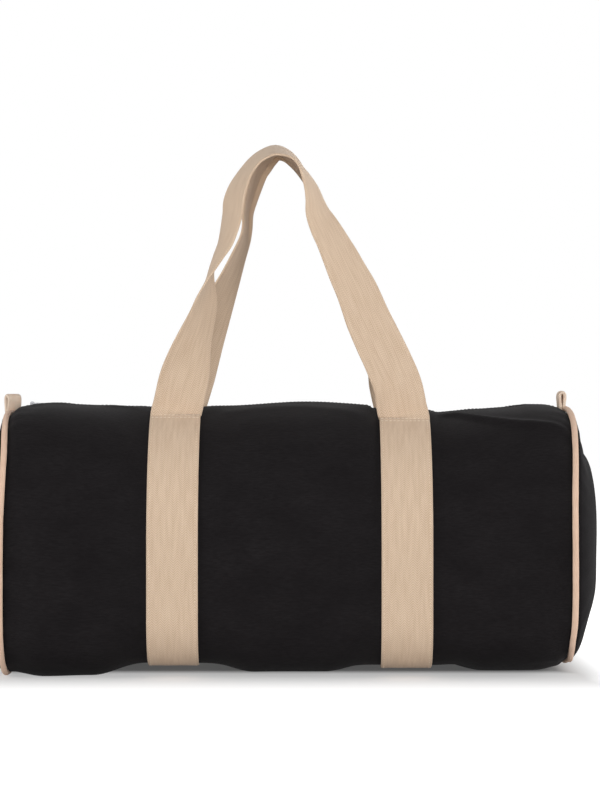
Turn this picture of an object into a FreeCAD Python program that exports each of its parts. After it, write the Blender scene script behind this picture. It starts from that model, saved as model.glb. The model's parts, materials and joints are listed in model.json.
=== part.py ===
import FreeCAD
import Part
import Sketcher
import math
import os
from collections import namedtuple
from types import SimpleNamespace

# Barrel bag of canvas and webbing.
# X runs along the barrel, the front faces -Y and +Z is up.
# The origin is the middle of the footprint, on the floor.

# Driving dimensions in millimetres, with degrees for the two angles and plain numbers for shares.
SIZES = (
    ("bag_length", 500, "between the two piping seams"),
    ("barrel_radius", 124, "round top and upright sides of the barrel"),
    ("barrel_height", 238, "floor to the top of the barrel"),
    ("corner_share", 0.21, "lower corners' radius as a share of the barrel's height"),
    ("corner_radius", "=barrel_height * corner_share", "rounded lower corners, front and back"),
    ("canvas_thick", 1, "canvas of the panels"),
    ("clearance", 0.3, "gap between layers of cloth and round moving pieces"),
    ("strap_spacing", 205, "between the middles of the two straps"),
    ("webbing_width", 45, "straps and handles"),
    ("webbing_thick", 2.4, "straps and handles"),
    ("strap_margin", 1, "drawn-in canvas beside each edge of a strap"),
    ("cinch_side", 3, "how far a strap draws in the sides"),
    ("cinch_base", 8.5, "how far a strap lifts the bottom"),
    ("cinch_run", 21, "length over which the canvas swells out again"),
    ("stitch_angle", 22, "stitch rows, measured from the top of the barrel"),
    ("end_side", 3, "how far the end seams draw in the sides"),
    ("end_base", 3, "how far the end seams lift off the floor"),
    ("end_run", 25, "length over which the barrel narrows to its end seam"),
    ("neck_inset", 1.5, "canvas below the middle of the piping"),
    ("dome_bulge", 29, "end panel beyond its seam"),
    ("piping_diameter", 6, "over the cover"),
    ("piping_fabric", 0.8, "cover of the piping"),
    ("seam_allowance", 9, "turned-in edges of the end seams"),
    ("binding_width", 6, "each leg of the tape over the raw edges"),
    ("binding_thick", 0.6, "tape over the raw edges"),
    ("zip_opening", 11, "between the panel's two top edges"),
    ("zip_margin", 5.5, "from the end of the zip opening to the end seam"),
    ("zip_depth", 3.5, "tape below the top of the barrel"),
    ("tape_width", 13.4, "each zip tape"),
    ("tape_thick", 0.6, "zip tape"),
    ("chain_gap", 1.2, "slit between the two rows of teeth"),
    ("bead_width", 1.6, "cord that carries the teeth"),
    ("bead_height", 1.5, "cord that carries the teeth"),
    ("tooth_pitch", 3, "along one row"),
    ("tooth_length", 1.8, "along the zip"),
    ("tooth_width", 2, "across the zip"),
    ("tooth_height", 2.2, "above the tape"),
    ("stop_length", 3, "stops at both ends of the travel"),
    ("slider_length", 9.6, "plates of the slider"),
    ("slider_width", 9, "plates of the slider"),
    ("plate_thick", 1.1, "plates of the slider"),
    ("web_length", 3, "post between the slider's plates"),
    ("web_thick", 0.6, "post between the slider's plates"),
    ("lug_offset", 1.5, "pull's pivot ahead of the slider's middle"),
    ("lug_radius", 2, "rounded lug under the pull"),
    ("lug_thick", 2, "lug across the zip"),
    ("pin_diameter", 1.4, "pivot pin of the pull"),
    ("pin_play", 0.05, "round the pivot pin"),
    ("pull_length", 28, "pivot to tip"),
    ("pull_width", 8, "pull tab"),
    ("pull_thick", 1.4, "pull tab"),
    ("ear_thick", 1.3, "each ear of the pull"),
    ("loop_width", 14, "tape of the end loops"),
    ("loop_thick", 2, "tape of the end loops"),
    ("loop_slit", 1, "between the two layers of an end loop"),
    ("loop_height", 17, "end loop"),
    ("loop_setback", 0.4, "loop behind the piping"),
    ("loop_lean", 12, "outward lean of the end loops"),
    ("handle_rise", 236, "stitch row to the top of the handle"),
    ("handle_gap", 4, "between the two handles at their tops"),
    ("handle_shift", 7.5, "tops of the handles to the left of the middle"),
)

# Routes of the handles from their left stitch rows to their right ones: share of half the strap
# spacing, share of the rise, share of the half turn that twists the webbing.
FRONT_ROUTE_SHARES = (
    (-1.000, 0.000, 0.000),
    (-0.957, 0.063, 0.011),
    (-0.876, 0.189, 0.156),
    (-0.819, 0.273, 0.267),
    (-0.710, 0.425, 0.378),
    (-0.656, 0.524, 0.500),
    (-0.583, 0.593, 0.561),
    (-0.513, 0.654, 0.589),
    (-0.444, 0.757, 0.611),
    (-0.410, 0.830, 0.617),
    (-0.328, 0.914, 0.594),
    (-0.192, 0.976, 0.583),
    (-0.054, 1.000, 0.583),
    (0.072, 0.981, 0.550),
    (0.166, 0.937, 0.528),
    (0.252, 0.860, 0.583),
    (0.310, 0.757, 0.667),
    (0.421, 0.654, 0.722),
    (0.555, 0.524, 0.789),
    (0.669, 0.406, 0.839),
    (0.790, 0.273, 0.889),
    (0.874, 0.189, 0.911),
    (0.966, 0.080, 0.956),
    (1.000, 0.000, 1.000),
)
BACK_ROUTE_SHARES = (
    (-1.000, 0.000, 0.000),
    (-0.954, 0.059, 0.017),
    (-0.828, 0.199, 0.150),
    (-0.752, 0.279, 0.222),
    (-0.651, 0.377, 0.294),
    (-0.494, 0.534, 0.383),
    (-0.420, 0.606, 0.417),
    (-0.350, 0.686, 0.428),
    (-0.292, 0.805, 0.428),
    (-0.249, 0.868, 0.422),
    (-0.160, 0.949, 0.417),
    (-0.029, 1.000, 0.417),
    (0.110, 0.964, 0.439),
    (0.174, 0.915, 0.450),
    (0.239, 0.860, 0.461),
    (0.338, 0.754, 0.472),
    (0.428, 0.652, 0.483),
    (0.492, 0.593, 0.506),
    (0.575, 0.525, 0.544),
    (0.685, 0.423, 0.622),
    (0.830, 0.271, 0.733),
    (0.896, 0.173, 0.844),
    (0.963, 0.067, 0.967),
    (1.000, 0.000, 1.000),
)
HANDLE_STATIONS = 40

# The handles' ends are bevelled to turn on the stitch rows without touching the straps.
ROOT_BEVEL = math.radians(30)

# Swell of an end panel: share of its depth beyond the seam, share of its full outline.
DOME_SHARES = ((0.0, 1.0), (0.22, 0.955), (0.48, 0.86), (0.72, 0.70), (0.9, 0.46), (1.0, 0.16))

doc = FreeCAD.newDocument("barrel_bag")
sheet = doc.addObject("Spreadsheet::Sheet", "sizes")
for row, (alias, value, meaning) in enumerate(SIZES, start=1):
    sheet.set(f"A{row}", alias)
    sheet.set(f"B{row}", str(value))
    sheet.set(f"C{row}", meaning)
    sheet.setAlias(f"B{row}", alias)
doc.recompute()
size = SimpleNamespace(**{alias: float(sheet.get(alias)) for alias, value, meaning in SIZES})

HALF_LENGTH = size.bag_length / 2
PIPING_RADIUS = size.piping_diameter / 2
nodes = []


def vec(x, y, z):
    return FreeCAD.Vector(x, y, z)


# Cross-sections of the barrel

Section = namedtuple("Section", "radius corner low high")


def inset(section, depth):
    """The same cross-section, smaller all round by depth."""
    return Section(section.radius - depth, section.corner - depth, section.low + depth, section.high - depth)


def shrunk(section, share):
    """The same cross-section, scaled about its own middle."""
    middle = (section.low + section.high) / 2
    half = (section.high - section.low) / 2 * share
    return Section(section.radius * share, section.corner * share, middle - half, middle + half)


def outline(section, x):
    """Closed wire of a cross-section: round top, upright sides, rounded lower corners, flat base."""
    top = section.high - section.radius
    bend = section.low + section.corner
    foot = section.radius - section.corner
    diagonal = math.sqrt(0.5)

    def arc(middle_y, middle_z, radius, start, end):
        """Quarter circle between two unit directions."""
        way = ((start[0] + end[0]) * diagonal, (start[1] + end[1]) * diagonal)
        points = [vec(x, middle_y + radius * y, middle_z + radius * z) for y, z in (start, way, end)]
        return Part.Arc(*points).toShape()

    def line(start, end):
        return Part.LineSegment(vec(x, *start), vec(x, *end)).toShape()

    up, down, front, back = (0, 1), (0, -1), (-1, 0), (1, 0)
    edges = [
        arc(0, top, section.radius, up, back),
        line((section.radius, top), (section.radius, bend)),
        arc(foot, bend, section.corner, back, down),
        line((foot, section.low), (-foot, section.low)),
        arc(-foot, bend, section.corner, down, front),
        line((-section.radius, bend), (-section.radius, top)),
        arc(0, top, section.radius, front, up),
    ]
    return Part.Wire(edges)


def ring(section, outer, inner, start, end):
    """Band between two insets of a cross-section, from start to end along the barrel."""
    wires = [outline(inset(section, outer), start), outline(inset(section, inner), start)]
    return Part.makeFace(wires, "Part::FaceMakerBullseye").extrude(vec(end - start, 0, 0))


def skin(stations, thick):
    """Shell of the given thickness through outlines at stations along the barrel."""
    outer = Part.makeLoft([outline(section, x) for x, section in stations], True, True)
    inner = Part.makeLoft([outline(inset(section, thick), x) for x, section in stations], True, True)
    return outer.cut(inner)


BARREL = Section(size.barrel_radius, size.corner_radius, 0, size.barrel_height)
STRAP = Section(
    size.barrel_radius - size.cinch_side,
    size.corner_radius - size.cinch_side,
    size.cinch_base,
    size.barrel_height,
)
SEAM = Section(
    size.barrel_radius - size.end_side,
    size.corner_radius - size.end_side,
    size.end_base,
    size.barrel_height,
)


# Document helpers

def keep(piece, label):
    """List a piece as a node of the bag."""
    piece.Label = label
    nodes.append(piece)
    return piece


def add_shape(label, shape):
    """Piece of cloth whose shape is worked out from the sheet's sizes."""
    piece = doc.addObject("Part::Feature", label)
    piece.Shape = shape
    piece.Placement = FreeCAD.Placement()
    return keep(piece, label)


def bind(piece, expressions):
    for name, expression in expressions.items():
        piece.setExpression(name, expression)
    return piece


def place(piece, x, y, z):
    return bind(piece, {"Placement.Base.x": x, "Placement.Base.y": y, "Placement.Base.z": z})


def add_box(name, length, width, height, x, y, z):
    """Box bound to the sheet, with its lowest corner at x, y, z."""
    box = doc.addObject("Part::Box", name)
    bind(box, {"Length": length, "Width": width, "Height": height})
    return place(box, x, y, z)


def add_pin(name, radius, length, x, y, z):
    """Cylinder along Y, bound to the sheet, starting at x, y, z."""
    pin = doc.addObject("Part::Cylinder", name)
    pin.Placement.Rotation = FreeCAD.Rotation(vec(1, 0, 0), -90)
    bind(pin, {"Radius": radius, "Height": length})
    return place(pin, x, y, z)


def add_fuse(name, pieces):
    fuse = doc.addObject("Part::MultiFuse", name)
    fuse.Shapes = pieces
    return fuse


def origin_feature(body, role):
    return next(feature for feature in body.Origin.OriginFeatures if feature.Role == role)


def add_sketch(body, name, role):
    sketch = body.newObject("Sketcher::SketchObject", name)
    sketch.AttachmentSupport = (origin_feature(body, role), [""])
    sketch.MapMode = "FlatFace"
    return sketch


def constrain(sketch, kind, *targets, name="", expression=""):
    """Add a constraint, and bind it to the sheet where it has a name."""
    index = sketch.addConstraint(Sketcher.Constraint(kind, *targets))
    if name:
        sketch.renameConstraint(index, name)
        sketch.setExpression(f"Constraints.{name}", expression)


def draw_rectangle(sketch, left, low, wide, tall):
    """Rectangle in the sketch's first quadrant, bound to the sheet."""
    corners = [vec(1, 1, 0), vec(2, 1, 0), vec(2, 2, 0), vec(1, 2, 0)]
    for index, corner in enumerate(corners):
        following = corners[(index + 1) % len(corners)]
        sketch.addGeometry(Part.LineSegment(corner, following), False)
    for index in range(len(corners)):
        constrain(sketch, "Coincident", index, 2, (index + 1) % len(corners), 1)
    for index, kind in enumerate(("Horizontal", "Vertical", "Horizontal", "Vertical")):
        constrain(sketch, kind, index)
    constrain(sketch, "DistanceX", 0, 1, 0, 2, 1.0, name="wide", expression=wide)
    constrain(sketch, "DistanceY", 1, 1, 1, 2, 1.0, name="tall", expression=tall)
    constrain(sketch, "DistanceX", -1, 1, 0, 1, 1.0, name="left", expression=left)
    constrain(sketch, "DistanceY", -1, 1, 0, 1, 1.0, name="low", expression=low)


def draw_arch(sketch, radius, rise):
    """Arch on the sketch's own axes: flat foot, two upright sides and a half-round top."""
    sketch.addGeometry(Part.LineSegment(vec(-1, 0, 0), vec(1, 0, 0)), False)
    sketch.addGeometry(Part.LineSegment(vec(1, 0, 0), vec(1, 2, 0)), False)
    circle = Part.Circle(vec(0, 2, 0), vec(0, 0, 1), 1)
    sketch.addGeometry(Part.ArcOfCircle(circle, 0, math.pi), False)
    sketch.addGeometry(Part.LineSegment(vec(-1, 2, 0), vec(-1, 0, 0)), False)
    constrain(sketch, "Coincident", 0, 2, 1, 1)
    constrain(sketch, "Tangent", 1, 2, 2, 1)
    constrain(sketch, "Tangent", 2, 2, 3, 1)
    constrain(sketch, "Coincident", 3, 2, 0, 1)
    constrain(sketch, "Horizontal", 0)
    constrain(sketch, "Vertical", 1)
    constrain(sketch, "Vertical", 3)
    constrain(sketch, "Symmetric", 0, 1, 0, 2, -1, 1)
    constrain(sketch, "Radius", 2, 1.0, name="radius", expression=radius)
    constrain(sketch, "DistanceY", 1, 1, 1, 2, 2.0, name="rise", expression=rise)


def add_pad(body, sketch, name, length, midplane=False):
    pad = body.newObject("PartDesign::Pad", name)
    pad.Profile = sketch
    pad.Midplane = midplane
    bind(pad, {"Length": length})
    return pad


# Canvas panels and their end seams

NECK = size.canvas_thick / 2 + size.neck_inset
LIP_TOP = PIPING_RADIUS + size.clearance
LIP_FOOT = LIP_TOP + size.seam_allowance
FLANGE = size.piping_fabric
STEP = PIPING_RADIUS + size.clearance


def seam_lip(side, way):
    """Turned-in canvas edge at an end seam: way is -1 on the barrel's side and 1 on the end panel's."""
    seam = side * HALF_LENGTH
    out = side * way
    near = seam + out * (FLANGE + size.clearance)
    step = seam + out * STEP
    shoulder = ring(SEAM, NECK, LIP_TOP + size.canvas_thick, step, step + out * size.canvas_thick)
    tread = ring(SEAM, LIP_TOP, LIP_TOP + size.canvas_thick, near, step + out * size.canvas_thick)
    allowance = ring(SEAM, LIP_TOP, LIP_FOOT, near, near + out * size.canvas_thick)
    return [shoulder, tread, allowance]


def make_body_panel():
    """Canvas round the barrel, drawn in under the straps and open along the zip."""
    strap_middle = size.strap_spacing / 2
    strap_half = size.webbing_width / 2 + size.strap_margin
    seam_neck = inset(SEAM, size.neck_inset)
    half = [
        (strap_middle - strap_half - size.cinch_run, BARREL),
        (strap_middle - strap_half, STRAP),
        (strap_middle + strap_half, STRAP),
        (strap_middle + strap_half + size.cinch_run, BARREL),
        (HALF_LENGTH - size.end_run, BARREL),
        (HALF_LENGTH - STEP, seam_neck),
    ]
    stations = [(-x, section) for x, section in reversed(half)] + half
    pieces = []
    for (start, first), (end, last) in zip(stations, stations[1:]):
        if first == last:
            pieces.append(ring(first, 0, size.canvas_thick, start, end))
        else:
            pieces.append(skin([(start, first), (end, last)], size.canvas_thick))
    for side in (-1, 1):
        pieces += seam_lip(side, -1)
    slot_end = HALF_LENGTH - size.zip_margin
    slot_depth = size.zip_depth
    slot = Part.makeBox(
        2 * slot_end,
        size.zip_opening,
        2 * slot_depth,
        vec(-slot_end, -size.zip_opening / 2, size.barrel_height - slot_depth),
    )
    return pieces[0].multiFuse(pieces[1:]).cut(slot)


def make_end_panel(side):
    """Domed canvas end with its turned-in edge."""
    foot = HALF_LENGTH + STEP
    depth = size.dome_bulge - STEP
    rim = inset(SEAM, size.neck_inset)
    hollow_rim = inset(rim, size.canvas_thick)
    hollow_depth = depth - size.canvas_thick
    outer = [outline(shrunk(rim, share), side * (foot + depth * reach)) for reach, share in DOME_SHARES]
    inner = [
        outline(shrunk(hollow_rim, share), side * (foot + hollow_depth * reach)) for reach, share in DOME_SHARES
    ]
    dome = Part.makeLoft(outer, True, True).cut(Part.makeLoft(inner, True, True))
    return dome.multiFuse(seam_lip(side, 1))


def make_tube(section, x, radius):
    """Round tube that follows a cross-section."""
    path = outline(section, x)
    circle = Part.Circle(vec(x, 0, section.high), vec(0, 1, 0), radius)
    return path.makePipeShell([Part.Wire(circle.toShape())], True, False)


def make_piping_cover(side):
    """Fabric wrapped round the piping cord, with its flange in the seam."""
    x = side * HALF_LENGTH
    wrap = make_tube(SEAM, x, PIPING_RADIUS)
    flange_top = PIPING_RADIUS - size.piping_fabric / 2
    flange = ring(SEAM, flange_top, LIP_FOOT, x - FLANGE, x + FLANGE)
    return wrap.cut(make_tube(SEAM, x, PIPING_RADIUS - size.piping_fabric)).fuse(flange)


def make_piping_cord(side):
    radius = PIPING_RADIUS - size.piping_fabric - size.clearance
    return make_tube(SEAM, side * HALF_LENGTH, radius)


def make_seam_binding(side):
    """Tape folded over the raw edges of an end seam."""
    seam = side * HALF_LENGTH
    top = LIP_FOOT - size.binding_width
    fold = LIP_FOOT + size.clearance
    foot = fold + size.binding_thick
    reach = FLANGE + size.clearance + size.canvas_thick + size.clearance
    edge = reach + size.binding_thick
    legs = [ring(SEAM, top, foot, seam + way * reach, seam + way * edge) for way in (-1, 1)]
    return ring(SEAM, fold, foot, seam - edge, seam + edge).multiFuse(legs)


add_shape("body_panel", make_body_panel())
for end_name, end_side in (("left", -1), ("right", 1)):
    add_shape(f"end_panel_{end_name}", make_end_panel(end_side))
    add_shape(f"piping_cover_{end_name}", make_piping_cover(end_side))
    add_shape(f"piping_cord_{end_name}", make_piping_cord(end_side))
    add_shape(f"seam_binding_{end_name}", make_seam_binding(end_side))


# Webbing straps and handles

STITCH = math.radians(size.stitch_angle)
STRAP_MIDDLE_Z = STRAP.high - STRAP.radius
HINGE_RADIUS = STRAP.radius + 2 * size.clearance + 1.5 * size.webbing_thick
HINGE_Y = HINGE_RADIUS * math.sin(STITCH)
HINGE_Z = STRAP_MIDDLE_Z + HINGE_RADIUS * math.cos(STITCH)


def make_strap(side):
    """Webbing from the front stitch row, under the bag, to the back one."""
    start = side * size.strap_spacing / 2 - size.webbing_width / 2
    band = ring(STRAP, -size.clearance - size.webbing_thick, -size.clearance, start, start + size.webbing_width)
    reach = size.barrel_height
    end_angle = STITCH - size.webbing_thick / HINGE_RADIUS
    corners = [
        vec(start, 0, STRAP_MIDDLE_Z),
        vec(start, -reach * math.sin(end_angle), STRAP_MIDDLE_Z + reach * math.cos(end_angle)),
        vec(start, reach * math.sin(end_angle), STRAP_MIDDLE_Z + reach * math.cos(end_angle)),
    ]
    sector = Part.Face(Part.makePolygon(corners + corners[:1])).extrude(vec(size.webbing_width, 0, 0))
    return band.cut(sector)


def solid_through(sections):
    """Solid with straight rules from each edge of a section to the same edge of the next one."""
    faces = [Part.Face(sections[0]), Part.Face(sections[-1])]
    for first, last in zip(sections, sections[1:]):
        faces += [Part.makeRuledSurface(*edges) for edges in zip(first.Edges, last.Edges)]
    shell = Part.makeShell(faces)
    shell.sewShape()
    solid = Part.makeSolid(shell)
    if solid.Volume < 0:
        solid.reverse()
    return solid


def webbing_section(middle, along, angle, thick):
    """Rectangle across the webbing, turned by angle from facing forward to facing into the arch."""
    forward = vec(0, -1, 0)
    forward = (forward - along * forward.dot(along)).normalize()
    facing = forward * math.cos(angle) + along.cross(forward) * math.sin(angle)
    across = facing.cross(along) * (size.webbing_width / 2)
    facing = facing * (thick / 2)
    corners = [
        middle + across + facing,
        middle + across - facing,
        middle - across - facing,
        middle - across + facing,
    ]
    return Part.makePolygon(corners + corners[:1])


def make_handle(route_shares, way):
    """Webbing from stitch row to stitch row with a half twist: way is -1 in front and 1 behind."""
    top_y = (size.webbing_width + size.handle_gap) / 2
    lean = HINGE_Y - top_y
    route = [
        vec(
            across * size.strap_spacing / 2 - size.handle_shift * up,
            way * (HINGE_Y - lean * up),
            HINGE_Z + size.handle_rise * up,
        )
        for across, up, turn in route_shares
    ]
    path = Part.BSplineCurve()
    path.interpolate(route)
    turns = Part.BSplineCurve()
    turns.interpolate(
        Points=[vec(turn, across, 0) for across, up, turn in route_shares],
        Parameters=path.getKnots(),
    )
    upright = vec(0, -way * lean, size.handle_rise).normalize()
    start, end = path.FirstParameter, path.LastParameter
    sections = []
    for station in range(1, HANDLE_STATIONS):
        spot = start + (end - start) * station / HANDLE_STATIONS
        along = path.tangent(spot)[0]
        angle = math.pi * turns.value(spot).x
        sections.append(webbing_section(path.value(spot), along, angle, size.webbing_thick))
    for foot, along, angle, order in ((route[0], upright, 0, 1), (route[-1], -upright, math.pi, -1)):
        taper = upright * (size.webbing_thick / 2 * math.cos(ROOT_BEVEL))
        tip = webbing_section(foot - taper, along, angle, size.webbing_thick * math.sin(ROOT_BEVEL))
        base = webbing_section(foot, along, angle, size.webbing_thick)
        sections = [tip, base] + sections if order > 0 else sections + [base, tip]
    return solid_through(sections)


add_shape("strap_left", make_strap(-1))
add_shape("strap_right", make_strap(1))
add_shape("handle_front", make_handle(FRONT_ROUTE_SHARES, -1))
add_shape("handle_back", make_handle(BACK_ROUTE_SHARES, 1))


# Zip: tapes, teeth, stops, slider and pull

SLOT_END = "(sizes.bag_length / 2 - sizes.zip_margin)"
TAPE_TOP = "(sizes.barrel_height - sizes.zip_depth)"
PLATE_BASE = f"({TAPE_TOP} + sizes.tooth_height + sizes.clearance)"
PLATE_TOP = f"({PLATE_BASE} + sizes.plate_thick)"
LOWER_PLATE = f"({TAPE_TOP} - sizes.tape_thick - sizes.clearance - sizes.plate_thick)"
SLIDER_LEFT = f"(-{SLOT_END} + 2 * sizes.clearance + sizes.stop_length)"
PIVOT_X = f"({SLIDER_LEFT} + sizes.slider_length / 2 + sizes.lug_offset)"
PIVOT_Z = f"({PLATE_TOP} + sizes.clearance + sizes.lug_radius)"
LOOP_SIZE = "(2 * sizes.loop_thick + sizes.loop_slit)"
LOOP_X = (
    "(sizes.bag_length / 2 - sizes.piping_diameter / 2 - sizes.clearance"
    f" - sizes.loop_setback - {LOOP_SIZE} / 2)"
)
PULL_LIMIT = f"({LOOP_X} - {LOOP_SIZE} / 2 - sizes.clearance)"
POST_LIMIT = (
    f"({PULL_LIMIT} - sizes.pull_length - sizes.lug_offset - sizes.slider_length / 2 + sizes.web_length)"
)
ROW_LENGTH = f"({POST_LIMIT} - {SLIDER_LEFT})"


def add_tape(label, y):
    tape = add_box(
        label,
        f"2 * {SLOT_END}",
        "sizes.tape_width",
        "sizes.tape_thick",
        f"-{SLOT_END}",
        y,
        f"{TAPE_TOP} - sizes.tape_thick",
    )
    return keep(tape, label)


def add_teeth(label, way, first):
    """One row of teeth on its cord: way is 1 behind the slit and -1 in front of it."""
    body = doc.addObject("PartDesign::Body", label)
    row_start = SLIDER_LEFT
    if way < 0:
        body.Placement.Rotation = FreeCAD.Rotation(vec(0, 0, 1), 180)
        row_start = POST_LIMIT
    place(body, row_start, f"{way} * sizes.chain_gap / 2", TAPE_TOP)
    bead = add_sketch(body, f"{label}_bead", "XY_Plane")
    draw_rectangle(bead, "0", "sizes.tooth_width / 2", ROW_LENGTH, "sizes.bead_width")
    add_pad(body, bead, f"{label}_cord", "sizes.bead_height")
    tooth = add_sketch(body, f"{label}_tooth", "XY_Plane")
    draw_rectangle(tooth, first, "0", "sizes.tooth_length", "sizes.tooth_width")
    tooth_pad = add_pad(body, tooth, f"{label}_block", "sizes.tooth_height")
    doc.recompute()
    teeth = body.newObject("PartDesign::LinearPattern", f"{label}_row")
    teeth.Originals = [tooth_pad]
    teeth.Direction = (origin_feature(body, "X_Axis"), [""])
    count = f"floor({ROW_LENGTH} / sizes.tooth_pitch)"
    bind(teeth, {"Length": f"({count} - 1) * sizes.tooth_pitch", "Occurrences": count})
    body.Tip = teeth
    return keep(body, label)


def add_stop(name, x, y, width):
    return add_box(name, "sizes.stop_length", width, "sizes.bead_height", x, y, TAPE_TOP)


def add_stops():
    """Two stops at the closed end, nearly shutting the slit, and one across it at the open end."""
    reach = "(sizes.chain_gap / 2 + sizes.tooth_width / 2 + sizes.bead_width)"
    left = f"-{SLOT_END} + sizes.clearance"
    width = f"{reach} - sizes.clearance / 2"
    back = add_stop("top_stop_back", left, "sizes.clearance / 2", width)
    front = add_stop("top_stop_front", left, f"-{reach}", width)
    pair = doc.addObject("Part::Compound", "zip_top_stops")
    pair.Links = [back, front]
    keep(pair, "zip_top_stops")
    bottom = add_stop("zip_bottom_stop", f"{POST_LIMIT} + sizes.clearance", f"-{reach}", f"2 * {reach}")
    keep(bottom, "zip_bottom_stop")


def add_slider():
    """Two plates joined by a post in the slit, and a bored lug for the pull."""
    plates = [
        add_box(
            name,
            "sizes.slider_length",
            "sizes.slider_width",
            "sizes.plate_thick",
            SLIDER_LEFT,
            "-sizes.slider_width / 2",
            height,
        )
        for name, height in (("slider_top_plate", PLATE_BASE), ("slider_lower_plate", LOWER_PLATE))
    ]
    post = add_box(
        "slider_post",
        "sizes.web_length",
        "sizes.web_thick",
        f"{PLATE_TOP} - {LOWER_PLATE}",
        SLIDER_LEFT,
        "-sizes.web_thick / 2",
        LOWER_PLATE,
    )
    lug_foot = add_box(
        "slider_lug_foot",
        "2 * sizes.lug_radius",
        "sizes.lug_thick",
        f"{PIVOT_Z} - {PLATE_BASE}",
        f"{PIVOT_X} - sizes.lug_radius",
        "-sizes.lug_thick / 2",
        PLATE_BASE,
    )
    lug_head = add_pin(
        "slider_lug_head", "sizes.lug_radius", "sizes.lug_thick", PIVOT_X, "-sizes.lug_thick / 2", PIVOT_Z
    )
    bore = add_pin(
        "slider_bore",
        "sizes.pin_diameter / 2 + sizes.pin_play",
        "sizes.slider_width",
        PIVOT_X,
        "-sizes.slider_width / 2",
        PIVOT_Z,
    )
    slider = doc.addObject("Part::Cut", "zip_slider")
    slider.Base = add_fuse("slider_blank", plates + [post, lug_foot, lug_head])
    slider.Tool = bore
    return keep(slider, "zip_slider")


def add_pull():
    """Pull tab lying along the zip: rounded tab, two ears beside the lug and the pivot pin."""
    ear_face = "(sizes.lug_thick / 2 + sizes.clearance)"
    root = f"({PIVOT_X} + sizes.lug_radius + sizes.clearance)"
    tab_end = f"({PIVOT_X} + sizes.pull_length - sizes.pull_width / 2)"
    low = f"({PIVOT_Z} - sizes.pull_thick / 2)"
    tab = add_box(
        "pull_tab", f"{tab_end} - {root}", "sizes.pull_width", "sizes.pull_thick", root, "-sizes.pull_width / 2", low
    )
    tip = doc.addObject("Part::Cylinder", "pull_tip")
    bind(tip, {"Radius": "sizes.pull_width / 2", "Height": "sizes.pull_thick"})
    place(tip, tab_end, "0", low)
    pieces = [tab, tip]
    for name, y in (("back", ear_face), ("front", f"-{ear_face} - sizes.ear_thick")):
        ear = add_pin(f"pull_ear_{name}", "sizes.lug_radius", "sizes.ear_thick", PIVOT_X, y, PIVOT_Z)
        arm = add_box(
            f"pull_arm_{name}",
            "sizes.lug_radius + 2 * sizes.clearance",
            "sizes.ear_thick",
            "sizes.pull_thick",
            PIVOT_X,
            y,
            low,
        )
        pieces += [ear, arm]
    pin_reach = f"({ear_face} + sizes.ear_thick)"
    pieces.append(
        add_pin("pull_pin", "sizes.pin_diameter / 2", f"2 * {pin_reach}", PIVOT_X, f"-{pin_reach}", PIVOT_Z)
    )
    return keep(add_fuse("zip_pull", pieces), "zip_pull")


def add_loop(label, side):
    """Tape folded double and caught in the end seam, leaning outwards over the piping."""
    body = doc.addObject("PartDesign::Body", label)
    outer = add_sketch(body, f"{label}_outer", "XZ_Plane")
    draw_arch(outer, f"{LOOP_SIZE} / 2", f"sizes.loop_height - {LOOP_SIZE} / 2")
    add_pad(body, outer, f"{label}_fold", "sizes.loop_width", midplane=True)
    doc.recompute()
    inner = add_sketch(body, f"{label}_inner", "XZ_Plane")
    draw_arch(inner, "sizes.loop_slit / 2", f"sizes.loop_height - {LOOP_SIZE} / 2")
    slit = body.newObject("PartDesign::Pocket", f"{label}_slit")
    slit.Profile = inner
    slit.Midplane = True
    slit.Type = "ThroughAll"
    body.Placement.Rotation = FreeCAD.Rotation(vec(0, 1, 0), side * size.loop_lean)
    place(body, f"{side} * {LOOP_X}", "0", "sizes.barrel_height - sizes.neck_inset / 2")
    return keep(body, label)


add_tape("zip_tape_front", "-sizes.chain_gap / 2 - sizes.tape_width")
add_tape("zip_tape_back", "sizes.chain_gap / 2")
add_teeth("zip_teeth_front", -1, "sizes.tooth_pitch / 2")
add_teeth("zip_teeth_back", 1, "0")
add_stops()
add_slider()
add_pull()
add_loop("loop_tab_left", -1)
add_loop("loop_tab_right", 1)


# Check the document and write one file for each piece

doc.recompute()
for member in doc.Objects:
    if "Invalid" in member.State or "Error" in member.State:
        raise RuntimeError(f"{member.Label} failed: {member.State}")
for piece in nodes:
    if piece.Shape.isNull() or not piece.Shape.isValid():
        raise RuntimeError(f"{piece.Label} has no valid shape")

os.makedirs("parts", exist_ok=True)
for piece in nodes:
    piece.Shape.exportStep(f"parts/{piece.Label}.step")
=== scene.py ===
import json
import math
from collections import namedtuple

import bmesh
import bpy
from mathutils import Matrix, Vector, noise


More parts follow.
